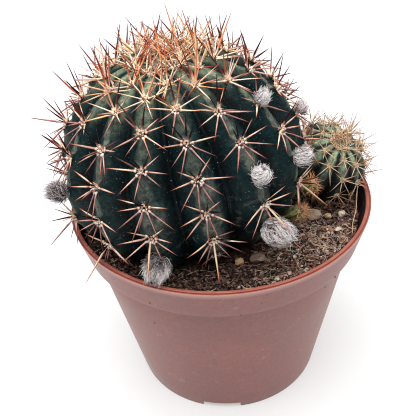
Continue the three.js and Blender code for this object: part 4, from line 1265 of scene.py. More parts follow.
class Felt:
    """Gathers the pads of felt on the areoles, and the short hairs on them."""

    def __init__(self):
        self.pads = Heap()
        self.hairs = Strands(3)

    def add(self, axes, size, hair_count, hair_length, tint, seed):
        """A pad. size is its half width, its half length up the rib, and its height."""
        place, out, along, side = axes
        turns = 2 * np.pi * np.arange(DOME_SIDES) / DOME_SIDES
        points = [place + out * size[2]]
        for slope in np.linspace(0, 1, DOME_RINGS + 1)[1:] * math.pi / 2:
            for t in turns:
                flat = along * math.cos(t) * size[1] - side * math.sin(t) * size[0]
                high = size[2] * math.cos(slope) - FELT_SINKS * (slope > 1.5)
                points.append(place + flat * math.sin(slope) + out * high)
        points = np.array(points)
        points += out * (0.25 * size[2] * noise(points, 0.8, seed))[:, None]
        faces = [[0, 1 + k, 1 + (k + 1) % DOME_SIDES] for k in range(DOME_SIDES)]
        faces += grid_faces(DOME_RINGS, DOME_SIDES, first=1)
        faces.append([1 + (DOME_RINGS - 1) * DOME_SIDES + k for k in range(DOME_SIDES)][::-1])
        shade = 0.75 + 0.4 * (0.5 + 0.5 * noise(points, 0.6, seed + 5))
        self.pads.add(points, faces, tint * shade[:, None])
        for k in range(hair_count):
            self.add_hair(axes, size, hair_length, tint, seed, k)

    def add_hair(self, axes, size, hair_length, tint, seed, k):
        """One hair: most of them grow on the lower side of a pad."""
        place, out, along, side = axes
        t = math.pi + 5 * (draw(seed, k, 31) - 0.5) * (0.4 + draw(seed, k, 38))
        slope = math.pi / 2 * math.sqrt(draw(seed, k, 32))
        flat = along * math.cos(t) * size[1] + side * math.sin(t) * size[0]
        root = place + flat * math.sin(slope) + out * size[2] * math.cos(slope) * 0.8
        lean = unit(flat * (0.4 + draw(seed, k, 33)) + out * (0.5 + draw(seed, k, 34)))
        curl = np.cross(lean, out) * (draw(seed, k, 35) - 0.5) * 0.9
        share = FELT_HAIR_NODES[:, None]
        length = 0.6 + 0.7 * draw(seed, k, 36)
        path = root + (lean * share + curl * share**2) * hair_length * length
        pale_tint = (0.15 * tint + 0.85 * FELT_HAIR_TINT) * (0.8 + 0.5 * draw(seed, k, 37))
        self.hairs.add(path, FELT_HAIR_RADII, np.minimum(pale_tint, 0.9))


# Wool

# The nodes of a hair, the hairs for each millimetre of a bud's width, the locks that they form
# unless the bud says otherwise, and how far they may stand off, in millimetres.
HAIR_NODES = 8
HAIRS_A_WIDTH = 118
LOCKS = 34
HAIR_REACH = 2.0

# The rows and columns of points on a bud's core.
CORE_ROWS = 14
CORE_COLUMNS = 26


def bud_surface(bud, centre, axis, first, second, turn, share, lift):
    """Points on a bud: turn is the way round it, share goes from its foot to its tip."""
    up = -np.cos(share * np.pi)
    across = np.sin(share * np.pi)
    narrow = 1 - BUD_TAPER * up
    radius = (bud["width"] / 2 + lift) * across * narrow
    height = (bud["length"] / 2 + lift) * up
    ring = first * np.cos(turn)[..., None] + second * np.sin(turn)[..., None]
    return centre + ring * radius[..., None] + axis * height[..., None]


def wrapping_hairs(bud, count, rng, surface):
    """Locks of curly hair that wrap a bud: their paths, and how white each node is, darker the deeper
    its hair lies, as painted shade.
    """
    steps = np.linspace(0, 1, HAIR_NODES)
    curl = bud["curl"]
    locks = bud.get("locks", LOCKS)
    loose = LOCKS / locks
    lock = rng.integers(0, locks, count)
    spread = 2 * np.pi * np.arange(locks) / locks
    begin = spread[lock] + rng.normal(0, 0.2 * loose, count)
    start = (np.arange(locks) * 0.382 % 0.62)[lock] + rng.normal(0, 0.06 * loose, count)
    run = rng.uniform(0.25, 0.5, count)
    comb = rng.normal(1.1, 0.2 + 0.5 * curl, locks)[lock]
    comb = comb + rng.normal(0, (0.06 + 0.15 * curl) * loose, count)
    phase = rng.uniform(0, 2 * np.pi, (locks, 2))[lock]
    phase = phase + rng.normal(0, 0.5 * curl * loose, (count, 2))
    waves = (rng.uniform(1.0, 2.4, locks)[lock] * np.pi * (0.7 + 0.6 * curl))[:, None]
    span = np.maximum(0.02, start[:, None] + run[:, None] * steps)
    span = span + (0.01 + 0.05 * curl) * np.sin(phase[:, 1:] + waves * steps)
    turn = begin[:, None] + comb[:, None] * steps
    turn = turn + (0.05 + 0.26 * curl) * np.sin(phase[:, :1] + waves * steps) * (0.3 + steps)
    over = np.maximum(0, span - 0.88)
    layer = rng.uniform(0, 1, locks)[lock] * (1 - loose)
    layer = (layer + rng.uniform(0, 1, count) * loose)[:, None]
    stray = (rng.uniform(0, 1, count) < 0.1 + 0.25 * curl)[:, None]
    lift = -1.0 + 0.95 * layer + 0.5 * np.sin(np.pi * steps) * curl * layer
    lift = lift + steps**3 * rng.uniform(0, 0.25 + 0.7 * curl, (count, 1)) + 1.6 * over
    lift = lift + stray * steps**2 * rng.uniform(0.4, 1.4, (count, 1))
    paths = surface(turn, span - 0.8 * over, np.minimum(lift, HAIR_REACH))
    # Deeper hairs are darker: painted shade.
    return paths, 0.3 + 0.75 * layer + 0.5 * span


def fanning_hairs(bud, count, rng, surface):
    """Hairs that fan out from a bud's foot and end free all over it."""
    steps = np.linspace(0, 1, HAIR_NODES)
    turn = rng.uniform(0, 2 * np.pi, count)
    share = 0.3 + 0.6 * rng.uniform(0, 1, count) ** 0.8
    foot = surface(turn + rng.normal(0, 0.4, count), 0.1 + 0 * share, -1.0 + 0 * share)
    knee = surface(turn + rng.normal(0, 0.25, count), 0.6 * share, rng.uniform(-0.9, 0.3, count))
    lift = rng.uniform(-0.3, 1.2, count) + 2 * rng.uniform(0, 1, count) ** 2 * share
    end = surface(turn + rng.normal(0, 0.2, count), share, lift)
    t = steps[:, None]
    paths = foot[:, None] * (1 - t) ** 2 + 2 * knee[:, None] * t * (1 - t) + end[:, None] * t**2
    sway = np.sin(rng.uniform(0, 6.3, (count, 1, 3)) + rng.uniform(3, 8, (count, 1, 1)) * t)
    paths = paths + sway * (0.12 + 0.3 * bud["curl"]) * t
    white = 0.04 + 1.3 * steps**1.3 * rng.uniform(0.6, 1.1, (count, 1))
    return paths, white * smooth_step(0.2, 0.75, share)[:, None]


def clear_of_pot(paths):
    """Which hairs keep clear of the pot's rim and the soil."""
    across = np.hypot(paths[..., 0], paths[..., 1])
    in_rim = (across > RIM_INNER_RADIUS - 0.6) & (paths[..., 2] < POT_HEIGHT + 0.3)
    in_soil = paths[..., 2] < SOIL_LEVEL + 0.8
    return ~(in_rim | in_soil).any(axis=1)


def wool_bud(index, bud, wool):
    """A bud: a dark scaly core in wool, wrapped in locks or fanned out as its flare says."""
    centre, axis = BUD_PLACES[index]
    first = unit(np.cross(axis, [0.3, 0.2, 1.0]))
    second = np.cross(axis, first)

    def surface(turn, share, lift):
        return bud_surface(bud, centre, axis, first, second, turn, share, lift)

    share, turn = np.meshgrid(
        np.linspace(0.97, 0.03, CORE_ROWS), 2 * np.pi * np.arange(CORE_COLUMNS) / CORE_COLUMNS,
        indexing="ij")
    core = surface(turn, share, 0 * turn - 1.1).reshape(-1, 3)
    core += unit(core - centre) * (0.4 * noise(core, 1.3, index))[:, None]
    faces = grid_faces(CORE_ROWS, CORE_COLUMNS)
    faces.append(list(range(CORE_COLUMNS)))
    faces.append([(CORE_ROWS - 1) * CORE_COLUMNS + k for k in range(CORE_COLUMNS)][::-1])
    heap = Heap()
    paleness = np.clip(bud["white"] - 1.2, 0, 0.5) * (1 - bud["flare"]) * (1 - 0.9 * bud["curl"])
    core_tint = between((linear(30, 26, 27), linear(200, 188, 187)), paleness)
    heap.add(core, faces, core_tint * (0.8 + 0.6 * share.ravel())[:, None])
    rng = np.random.default_rng(300 + index)
    hair_count = int(HAIRS_A_WIDTH * bud["width"])
    fanning = int(hair_count * bud["flare"])
    for maker, count in ((wrapping_hairs, hair_count - fanning), (fanning_hairs, fanning)):
        if count == 0:
            continue
        paths, white = maker(bud, count, rng, surface)
        clear = clear_of_pot(paths)
        paths, white = paths[clear], white[clear]
        count = len(paths)
        radii = rng.uniform(0.055, 0.11, count)[:, None] * np.interp(
            np.linspace(0, 1, HAIR_NODES), [0, 0.2, 0.7, 1], [0.7, 1, 0.9, 0.3])
        points, hair_faces = tubes(paths, radii, 3)
        # The dark hairs stand for the shade between the locks: painted shade.
        gaps = 0.08 + 0.24 * bud["curl"] + bud.get("gaps", 0)
        dark = (rng.uniform(0, 1, count) < gaps)[:, None]
        shade = white * bud["white"] * (1 - 0.9 * dark)
        above = (paths[..., 2] - centre[2]) / bud["width"]
        shadowed = bud.get("shadow", 0) * (rng.uniform(0, 1, (count, 1)) < 0.75)
        shade = shade * (1 - shadowed * smooth_step(-0.2, 0.35, above))
        tint = linear(250, 232, 231) * np.clip(shade, 0.03, 1.15)[..., None]
        heap.add(points, hair_faces, np.repeat(np.clip(tint, 0, 0.97).reshape(-1, 3), 3, axis=0))
    piece = heap.piece(f"bud_wool_{index + 1}", wool, "bud_wool")
    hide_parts(f"wool_bud_{index + 1}")


# Pot


def arc(centre, radius, start, end, steps=4):
    """Points on a corner's rounding, in the plane of radius and height."""
    turns = np.radians(np.linspace(start, end, steps))
    return [(centre[0] + radius * math.cos(t), centre[1] + radius * math.sin(t)) for t in turns]


def straight(start, end, steps):
    """The points between two ends."""
    return [(between((start[0], end[0]), k / steps), between((start[1], end[1]), k / steps))
            for k in range(1, steps)]


def pot_profile():
    """The pot's section from the middle of its underside, up outside, over the rim, down inside.

    The arcs and the small numbers are the roundings of its corners and the groove in its rim.
    """
    profile = [(0, 0), (BOSS_RADIUS, 0), (BOSS_RADIUS + BOSS_SLOPE, FLOOR_UNDERSIDE),
               (FOOT_RING_INNER_RADIUS - BOSS_SLOPE, FLOOR_UNDERSIDE),
               (FOOT_RING_INNER_RADIUS, 0)]
    profile += arc((BASE_RADIUS - 0.5, 0.5), 0.5, -90, -10)
    profile += straight(profile[-1], (BODY_TOP_RADIUS - 0.2, COLLAR_FOOT - 1), 10)
    profile += arc((BODY_TOP_RADIUS + 0.55, COLLAR_FOOT - 0.75), 0.7, 180, 95)
    profile += arc((COLLAR_FOOT_RADIUS - 0.5, COLLAR_FOOT + 0.45), 0.5, -90, -12)
    profile += straight(profile[-1], (RIM_RADIUS - 0.04, POT_HEIGHT - 0.9), 6)
    profile += arc((RIM_RADIUS - 0.22, POT_HEIGHT - 0.5), 0.22, 0, 90)
    profile += arc((RIM_GROOVE_RADIUS, POT_HEIGHT - 0.42), 0.12, 20, -200, 5)
    profile += arc((RIM_GROOVE_RADIUS - 0.43, POT_HEIGHT - 0.3), 0.3, 0, 90)
    profile += arc((RIM_INNER_RADIUS + 0.3, POT_HEIGHT - 0.3), 0.3, 90, 180)
    profile.append((RIM_INNER_RADIUS - 0.1, POT_HEIGHT - 0.7))
    profile += straight(profile[-1], (COLLAR_FOOT_INNER_RADIUS, COLLAR_FOOT), 4)
    profile += [(COLLAR_FOOT_INNER_RADIUS, COLLAR_FOOT),
                (BODY_TOP_RADIUS - BODY_WALL, COLLAR_FOOT - BODY_WALL),
                (FLOOR_RADIUS, FLOOR_TOP),
                (BOSS_RADIUS - FLOOR_THICKNESS, FLOOR_TOP),
                (BOSS_RADIUS - FLOOR_THICKNESS - BOSS_SLOPE, FLOOR_THICKNESS),
                (0, FLOOR_THICKNESS)]
    return profile


def lathe(profile, columns):
    """Turns a section that starts and ends on the axis into a closed mesh."""
    turn = 2 * np.pi * np.arange(columns) / columns
    inner = np.array(profile[1:-1])
    points = ring(inner[:, :1], inner[:, 1:], turn).reshape(-1, 3)
    faces = [face[::-1] for face in grid_faces(len(inner), columns)]
    first = len(points)
    last_row = (len(inner) - 1) * columns
    faces += [[first, (k + 1) % columns, k] for k in range(columns)]
    faces += [[first + 1, last_row + k, last_row + (k + 1) % columns] for k in range(columns)]
    return np.vstack([points, [0, 0, profile[0][1]], [0, 0, profile[-1][1]]]), faces


def pot_cutters():
    """Drain holes and foot notches, as one object."""
    cuts = bmesh.new()
    for k in range(DRAIN_HOLES):
        angle = math.radians(360 * (k + 0.5) / DRAIN_HOLES)
        place = Vector((math.cos(angle), math.sin(angle), 0)) * DRAIN_CIRCLE_RADIUS
        place.z = FLOOR_UNDERSIDE + FLOOR_THICKNESS / 2
        bmesh.ops.create_cone(
            cuts, cap_ends=True, segments=28, radius1=DRAIN_HOLE_RADIUS * MM,
            radius2=DRAIN_HOLE_RADIUS * MM, depth=4 * FLOOR_THICKNESS * MM,
            matrix=Matrix.Translation(place * MM))
    for k in range(FOOT_NOTCHES):
        turn = Matrix.Rotation(math.radians(FOOT_NOTCH_AZIMUTH + 360 * k / FOOT_NOTCHES), 4, "Z")
        size = Matrix.Diagonal((FOOT_NOTCH_WIDTH * MM, 8 * MM, 2 * FOOT_NOTCH_HEIGHT * MM, 1))
        place = Matrix.Translation((0, (1 - BASE_RADIUS) * MM, 0))
        bmesh.ops.create_cube(cuts, size=1, matrix=turn @ place @ size)
    mesh = bpy.data.meshes.new("pot_cutters")
    cuts.to_mesh(mesh)
    cuts.free()
    return new_object("pot_cutters", mesh)


def cut_out(piece, cutters):
    """The mesh of a piece without what the cutters cover. The cutters are then removed."""
    cut = piece.modifiers.new("cut", "BOOLEAN")
    cut.operation = "DIFFERENCE"
    cut.solver = "EXACT"
    cut.object = cutters
    graph = bpy.context.evaluated_depsgraph_get()
    final = bpy.data.meshes.new_from_object(piece.evaluated_get(graph))
    piece.modifiers.clear()
    bpy.data.objects.remove(cutters)
    return final


def build_pot(material, inside_material):
    """The pot. Its points know by their nearest corner of the section which surface they are on."""
    profile = pot_profile()
    pot = new_object("pot_shell", new_mesh("pot_shell", *lathe(profile, POT_COLUMNS)))
    pot.data = cut_out(pot, pot_cutters())
    places = np.empty(len(pot.data.vertices) * 3)
    pot.data.vertices.foreach_get("co", places)
    places = places.reshape(-1, 3) / MM
    section = np.array(profile)
    across = np.hypot(places[:, 0], places[:, 1])[:, None] - section[:, 0]
    nearest = np.argmin(np.hypot(across, places[:, 2:] - section[:, 1]), axis=1)
    lip_rows = np.flatnonzero(section[:, 1] > POT_HEIGHT - 0.45)
    at_rim = section[:, 1] > POT_HEIGHT - 1
    # The rim's groove, drawn dark as painted shade, and its outer edge, drawn pale as a painted
    # highlight.
    rim_groove_shade = at_rim & (np.abs(section[:, 0] - RIM_GROOVE_RADIUS) < 0.14)
    edge = at_rim & (section[:, 0] > RIM_RADIUS - 0.1)
    inside = nearest > lip_rows[-1]
    lip = (nearest >= lip_rows[0]) & ~inside
    add_values(pot.data, {"lip": lip, "rim_groove_shade": rim_groove_shade[nearest], "edge": edge[nearest]})
    pot.data.shade_smooth()
    pot.data.set_sharp_from_angle(angle=math.radians(38))
    pot.data.materials.clear()
    pot.data.materials.append(material)
    pot.data.materials.append(inside_material)
    for face in pot.data.polygons:
        face.material_index = int(all(inside[k] for k in face.vertices))
    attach(pot, "root")
    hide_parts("pot")


# Stones: place, size, the way the long side turns, colour.
STONES = [
    dict(at=(37.2, -8.6), size=(6.4, 4.8, 4.6), turn=20, tint=(208, 184, 164)),
    dict(at=(42.6, -9.4), size=(3.2, 2.4, 2), turn=-10, tint=(214, 184, 146)),
    dict(at=(48.2, -8.4), size=(3.6, 2.6, 2.2), turn=35, tint=(255, 236, 214)),
    dict(at=(5.8, -34.6), size=(3.6, 3, 2.4), turn=0, tint=(216, 178, 134)),
    dict(at=(12.6, -33.4), size=(5.6, 4, 3), turn=15, tint=(150, 128, 114)),
]
STONE_RAISED = 0.28
STONE_CHIPS = 9


# Soil

SOIL_RINGS = 66
SOIL_COLUMNS = 190


def soil_edge(height):
    """The radius of the soil at a height, a seat gap inside the pot."""
    slope = (RIM_INNER_RADIUS - COLLAR_FOOT_INNER_RADIUS) / COLLAR_HEIGHT
    return COLLAR_FOOT_INNER_RADIUS + slope * (height - COLLAR_FOOT) - SEAT_GAP


def soil_height(x, y):
    """The soil's uneven top."""
    flat = np.stack([x, y, 0 * x], -1)
    coarse = 0.7 * noise(flat, 13, 2)
    lumps = 0.55 * noise(flat, 3.6, 5) + 0.4 * noise(flat, 1.7, 8)
    return SOIL_LEVEL + coarse + lumps


def build_soil(material):
    """The plug of soil, with an uneven top and plain sides and underside."""
    turn = 2 * np.pi * np.arange(SOIL_COLUMNS) / SOIL_COLUMNS
    rows = []
    for k in range(1, SOIL_RINGS + 1):
        points = ring(soil_edge(SOIL_LEVEL) * (k / SOIL_RINGS) ** 0.85, 0, turn)
        points[:, 2] = soil_height(*points[:, :2].T)
        rows.append(points)
    rows += [ring(radius, height, turn) for radius, height in [
        (COLLAR_FOOT_INNER_RADIUS - SEAT_GAP, COLLAR_FOOT + SEAT_GAP),
        (BODY_TOP_RADIUS - BODY_WALL - SEAT_GAP, COLLAR_FOOT - BODY_WALL),
        (FLOOR_RADIUS - SEAT_GAP, FLOOR_TOP + SEAT_GAP),
        (BOSS_RADIUS, FLOOR_TOP + SEAT_GAP),
    ]]
    points = np.vstack([*rows, [0, 0, SOIL_LEVEL], [0, 0, FLOOR_TOP + SEAT_GAP]])
    # Painted light: the soil is drawn lighter towards the right.
    lit_right_share = smooth_step(*LITTER_BRIGHTENS, points[:, 0])
    soil = add_piece("soil_plug", points, closed_faces(len(rows), SOIL_COLUMNS), material,
                     "potting_mix", values={"lit_right": lit_right_share})
    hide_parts("potting_soil")


def random_spot(rng, edge):
    """A spot on the soil, up to edge from its middle."""
    radius = edge * math.sqrt(rng.uniform())
    turn = rng.uniform(0, 2 * math.pi)
    return np.array([radius * math.cos(turn), radius * math.sin(turn)])


def on_open_soil(x, y):
    """Whether a spot of the soil is clear of the stems' feet and the stones."""
    point = np.array([x, y, SOIL_LEVEL + 1.0])
    if any(math.dist((x, y), stone["at"]) < 0.5 * stone["size"][0] for stone in STONES):
        return False
    return not any(stem.inside(point, -2.5) for stem in (MAIN, OFFSET))


CRUMB_TINTS = [linear(18, 12, 13), linear(50, 35, 33), linear(112, 86, 76), linear(160, 130, 116),
               linear(140, 96, 84), linear(200, 176, 160)]
CRUMB_SHARES = [0.24, 0.24, 0.27, 0.16, 0.05, 0.04]
CRUMBS = 5200
FIBRES = 3900

# A flat pale flake that stands out.
FLAKE_PLACE = (44.9, -19.3)

# How bright the litter is drawn left and right of the stretch, from left to right, that brightens:
# painted shade to the left, under the stems, and painted light to the right.
LITTER_BRIGHTNESS = (0.72, 1.72)
LITTER_BRIGHTENS = (0, 46)
LITTER_BRIGHTEST = 0.6


def litter_tint(tint, x):
    """A tint of the litter as bright as it is drawn at x: painted shade to the left, painted light to
    the right.
    """
    shade = between(LITTER_BRIGHTNESS, smooth_step(*LITTER_BRIGHTENS, x))
    return np.minimum(tint * shade, LITTER_BRIGHTEST)


def build_crumbs(material):
    """Loose crumbs of peat and bark, each an uneven block of its own."""
    shape, shape_faces = ball_shape(1)
    rng = np.random.default_rng(11)
    heap = Heap()
    edge = soil_edge(SOIL_LEVEL) - 0.8
    made = 0
    while made < CRUMBS:
        x, y = random_spot(rng, edge)
        if not on_open_soil(x, y):
            continue
        made += 1
        size = 0.3 + 0.85 * rng.uniform() ** 3
        stretch = size * np.array([1, rng.uniform(0.55, 0.95), rng.uniform(0.35, 0.8)])
        spin = np.array(Matrix.Rotation(rng.uniform(0, 6.28), 3, "Z")
                        @ Matrix.Rotation(rng.normal(0, 0.5), 3, "X"))
        points = shape * (1 + rng.uniform(-0.28, 0.28, (len(shape), 1))) * stretch @ spin.T
        points = points + [x, y, soil_height(x, y) + 0.25 * stretch[2]]
        tint = CRUMB_TINTS[rng.choice(len(CRUMB_TINTS), p=CRUMB_SHARES)] * rng.uniform(0.75, 1.25)
        heap.add(points, shape_faces, litter_tint(tint, x))
    tilt = np.array(Matrix.Rotation(0.5, 3, "Z") @ Matrix.Rotation(0.35, 3, "X"))
    flake = shape * (1 + 0.2 * noise(shape, 0.7, 4))[:, None] * [1.5, 1, 0.3] @ tilt.T
    heap.add(flake + [*FLAKE_PLACE, SOIL_LEVEL + 1.4], shape_faces, linear(206, 190, 178))
    heap.piece("soil_crumbs", material, "potting_mix", smooth=False)


FIBRE_NODES = 4
FIBRE_TINTS = [linear(212, 184, 164), linear(236, 214, 198), linear(166, 134, 118),
               linear(88, 64, 57), linear(166, 112, 96), linear(28, 19, 20)]


def build_fibres(material):
    """Short bits of coir and straw that lie over the crumbs, thicker at the pot's right side."""
    rng = np.random.default_rng(23)
    strands = Strands(3)
    edge = soil_edge(SOIL_LEVEL) - 1.2
    steps = np.linspace(-0.5, 0.5, FIBRE_NODES)
    made = 0
    while made < FIBRES:
        x, y = random_spot(rng, edge)
        if not on_open_soil(x, y):
            continue
        if x < 10 and rng.uniform() < 0.3:
            continue
        length = 0.8 + 3.4 * rng.uniform() ** 2.6
        way = rng.uniform(0, 2 * math.pi)
        bend = rng.normal(0, 0.3)
        along = np.stack([np.cos(way + bend * steps * 2), np.sin(way + bend * steps * 2)], -1)
        flat = np.array([x, y]) + along * (steps * length)[:, None]
        if np.hypot(*flat.T).max() > edge:
            continue
        made += 1
        height = soil_height(*flat.T)
        level = 0.45 * height + 0.55 * height.max()
        tilt = rng.normal(0, 0.35) * steps * length * 0.4
        path = np.column_stack([flat, level + 0.22 + np.abs(tilt) + 0.15 * rng.uniform()])
        radii = (0.05 + 0.12 * rng.uniform() ** 2) * np.array([0.6, 1, 1, 0.5])
        tint = FIBRE_TINTS[rng.integers(len(FIBRE_TINTS))] * rng.uniform(0.6, 1.25)
        strands.add(path, radii, litter_tint(tint, x))
    strands.piece("soil_fibres", material, "potting_mix")


ROOT_NODES = 12
ROOTS = 190
ROOT_TINTS = [linear(206, 172, 144), linear(186, 150, 124), linear(228, 200, 172),
              linear(150, 110, 92)]

# Tangles of root that stand out: place and radius. Then single straws: both ends, radius and tint.
TANGLES = [
    (36.1, -27.2, 2.2), (40, -31.1, 2.6), (34.8, -19.7, 2), (39.5, -22, 1.8), (45.5, -25, 1.8),
]
TANGLE_ROOTS = 7
STRAWS = [
    ((55.6, -1.2, 84.6), (49.9, -22.6, 77.4), 0.24, (206, 176, 150)),
    ((51.4, -11.8, 77.2), (55.2, -10.4, 77.6), 0.2, (150, 74, 70)),
    ((40.2, -24.6, 77.2), (34.2, -23.2, 77.6), 0.18, (200, 170, 148)),
    ((47.2, -16.8, 77.3), (51.4, -19.6, 77.5), 0.16, (216, 186, 162)),
]


def build_roots(material):
    """Long curly roots and straws over the soil, most of them at the pot's right side."""
    rng = np.random.default_rng(31)
    strands = Strands(4)
    edge = soil_edge(SOIL_LEVEL) - 1.2

    def add_root(path, radius, tip_share, shades):
        radii = rng.uniform(*radius) * np.linspace(1, tip_share, ROOT_NODES)
        tint = ROOT_TINTS[rng.integers(len(ROOT_TINTS))] * rng.uniform(*shades)
        strands.add(path, radii, tint)

    made = 0
    while made < ROOTS:
        spot = random_spot(rng, edge)
        if spot[0] < 18 and rng.uniform() < 0.7:
            continue
        step = rng.uniform(0.45, 1.1)
        ways = rng.uniform(0, 6.28) + np.cumsum(rng.normal(rng.normal(0, 0.3), 0.35, ROOT_NODES))
        flat = spot + np.cumsum(np.stack([np.cos(ways), np.sin(ways)], -1) * step, axis=0)
        if np.hypot(*flat.T).max() > edge or not all(on_open_soil(*at) for at in flat):
            continue
        made += 1
        height = soil_height(*flat.T)
        loft = 0.35 + 0.5 * rng.uniform() * np.sin(np.linspace(0.3, 2.8, ROOT_NODES)) ** 2
        path = np.column_stack([flat, 0.5 * height + 0.5 * height.max() + loft])
        add_root(path, (0.09, 0.17), 0.45, (0.75, 1.15))
    for x, y, radius in TANGLES:
        for _ in range(TANGLE_ROOTS):
            ways = rng.uniform(0, 6.28) + np.linspace(0, rng.uniform(1.6, 4.6), ROOT_NODES)
            reach = radius * rng.uniform(0.5, 1.1) * (1 + 0.15 * np.sin(3 * ways + rng.uniform(0, 6)))
            flat = np.column_stack([x + reach * np.cos(ways), y + 0.8 * reach * np.sin(ways)])
            height = soil_height(*flat.T).max() + rng.uniform(0.2, 1.0)
            path = np.column_stack([flat, height + 0.4 * np.sin(2 * ways)])
            add_root(path, (0.1, 0.17), 0.5, (0.9, 1.2))
    for start, end, radius, tint in STRAWS:
        share = np.linspace(0, 1, ROOT_NODES)[:, None]
        path = np.array(start) * (1 - share) + np.array(end) * share
        path = path + 0.35 * np.sin(share * [9, 7, 5] + radius * 40)
        strands.add(path, radius * np.linspace(1, 0.7, ROOT_NODES), linear(*tint))
    strands.piece("soil_roots", material, "potting_mix")


# Crumbs of soil stuck to the outside of the pot: the azimuth, height and size of each.
WALL_SPECKS = [
    (13.9, 80.6, 0.36), (24.7, 81.8, 0.34), (46.7, 62.8, 0.32), (46.3, 70.6, 0.4),
    (-42.9, 78.9, 0.36), (-28.3, 73.1, 0.34), (-32.7, 55.4, 0.36), (5.1, 70.7, 0.22),
    (23.1, 77.4, 0.26), (29, 82, 0.34), (-15.5, 79.8, 0.22), (12.4, 76.2, 0.24), (38, 79, 0.26),
    (-58, 77, 0.3), (-70, 66, 0.3), (100, 71, 0.3), (150, 74, 0.36), (205, 60, 0.3),
    (250, 76, 0.34), (64, 50, 0.24),
]


def build_wall_specks(material):
    """Flat crumbs on the slope of the collar and of the body."""
    shape, faces = ball_shape(2)
    shape = shape * (1 + 0.25 * noise(shape, 0.6, 9))[:, None]
    heap = Heap()
    for azimuth, height, size in WALL_SPECKS:
        if height > COLLAR_FOOT:
            ends, share = (COLLAR_FOOT_RADIUS, RIM_RADIUS), (height - COLLAR_FOOT) / COLLAR_HEIGHT
        else:
            ends, share = (BASE_RADIUS, BODY_TOP_RADIUS), height / COLLAR_FOOT
        t = math.radians(azimuth)
        out = np.array([math.sin(t), -math.cos(t), 0])
        side = np.array([-math.cos(t), -math.sin(t), 0])
        frame_of_wall = size * np.stack([side, 0.35 * out, [0, 0, 0.9]])
        points = shape @ frame_of_wall + out * between(ends, share) + [0, 0, height]
        heap.add(points, faces, linear(48, 30, 30))
    heap.piece("pot_specks", material, "potting_mix")


def build_stone(index, stone, material):
    """A rounded stone with flat chips knocked off it, streaked in its own colour."""
    shape, faces = ball_shape(4)
    rng = np.random.default_rng(50 + index)
    for _ in range(STONE_CHIPS):
        chip = unit(rng.normal(0, 1, 3))
        over = np.maximum(0, shape @ chip - rng.uniform(0.66, 0.86))
        shape = shape - over[:, None] * chip
    wave = 1 + 0.06 * fractal(shape, 0.5, 3, 40 + index)
    shape = np.sign(shape) * np.abs(shape) ** 0.9 * wave[:, None] * 1.05
    spin = np.array(Matrix.Rotation(math.radians(stone["turn"]), 3, "Z"))
    points = (shape * np.array(stone["size"]) / 2) @ spin.T
    points = points + [*stone["at"], SOIL_LEVEL + STONE_RAISED * stone["size"][2]]
    streaks = fractal(points * [0.5, 1, 2.4], 1.1, 3, 60 + index)
    tone = 0.7 + 0.5 * (0.5 + 0.5 * streaks)
    piece = add_piece(f"pebble_{index + 1}", points, faces, material, "stone",
                      linear(*stone["tint"]) * tone[:, None])
    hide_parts(f"stone_{index + 1}")


# Building

# Each skin's groove colour is painted shade in its grooves.
main_skin = skin_material(
    "main_skin", crest=(69, 78, 71), flank=(9, 34, 37), groove=(3, 11, 14),
    young=(138, 152, 122), flecks=1.0, scuff_and_sheen=0.85)
offset_skin = skin_material(
    "offset_skin", crest=(70, 82, 76), flank=(20, 33, 34), groove=(6, 12, 14),
    young=(164, 184, 152), flecks=0.4, scuff_and_sheen=0.4)
small_skin = skin_material(
    "small_skin", crest=(160, 156, 108), flank=(104, 110, 68), groove=(52, 60, 38),
    young=(150, 144, 94), flecks=0.2, scuff_and_sheen=0.2)

# Each skin with its columns for a rib and its rows: the first latitude, the one that they stop
# short of, and the step.
for stem, name, material, slot, columns, latitudes in [
    (MAIN, "main_stem", main_skin, "cactus_skin", 28, (88, -63, -1.0)),
    (OFFSET, "offset_stem", offset_skin, "young_skin", 14, (87, -73, -2.5)),
    (SMALL_UPPER, "small_offset_upper", small_skin, "young_skin", 8, (84, -61, -6.0)),
    (SMALL_LOWER, "small_offset_lower", small_skin, "young_skin", 8, (84, -61, -6.0)),
]:
    body = stem.body(f"{name}_skin", material, slot, columns, np.arange(*latitudes))
    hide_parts(name)

spine_horn = spine_material()
felt = Felt()

strands = Strands(6)
for areole in MAIN.areoles():
    main_spines(strands, areole)
    young = smooth_step(10, 70, areole.latitude)
    tint = linear(28, 12, 14) * (1 - young) + linear(92, 60, 46) * young
    shrink = 1 - 0.35 * smooth_step(50, 84, areole.latitude)
    felt.add(areole.axes, size=(1.5 * shrink, 1.4 * shrink, 0.35), hair_count=14,
             hair_length=1.1, tint=tint, seed=areole.seed)
crown_tuft(strands, MAIN, count=46, reach=27, lengths=(6, 13), radius=0.27, seed=77)
felt.add(MAIN.areole_frame(0, 89), size=(1.9, 1.9, 0.7), hair_count=150, hair_length=1.5,
         tint=linear(200, 178, 150), seed=7)
# The main stem's spines get painted shade and a painted highlight on their two sides.
strands.piece("main_stem_spines", spine_horn, "cactus_spines", SPINE_PAINTED_SHADE, SPINE_PAINTED_HIGHLIGHT,
              SPINE_CONTRAST)

strands = Strands(5)
for areole in OFFSET.areoles():
    offset_spines(strands, areole)
    felt.add(areole.axes, size=(1.1, 1.0, 0.6), hair_count=14, hair_length=0.8, tint=FELT_TAN,
             seed=areole.seed)
crown_tuft(strands, OFFSET, count=10, reach=34, lengths=(4, 7.5), radius=0.18, seed=78)
strands.piece("offset_stem_spines", spine_horn, "cactus_spines")

strands = Strands(4)
for stem in (SMALL_UPPER, SMALL_LOWER):
    for areole in stem.areoles():
        young_spines(strands, stem, areole)
        felt.add(areole.axes, size=(0.5, 0.5, 0.3), hair_count=6, hair_length=0.5, tint=FELT_TAN,
                 seed=stem.seed + areole.rib)
    crown_tuft(strands, stem, count=14, reach=50, lengths=(2.5, 4.4), radius=0.12, seed=stem.seed)
strands.piece("small_offset_spines", spine_horn, "cactus_spines")

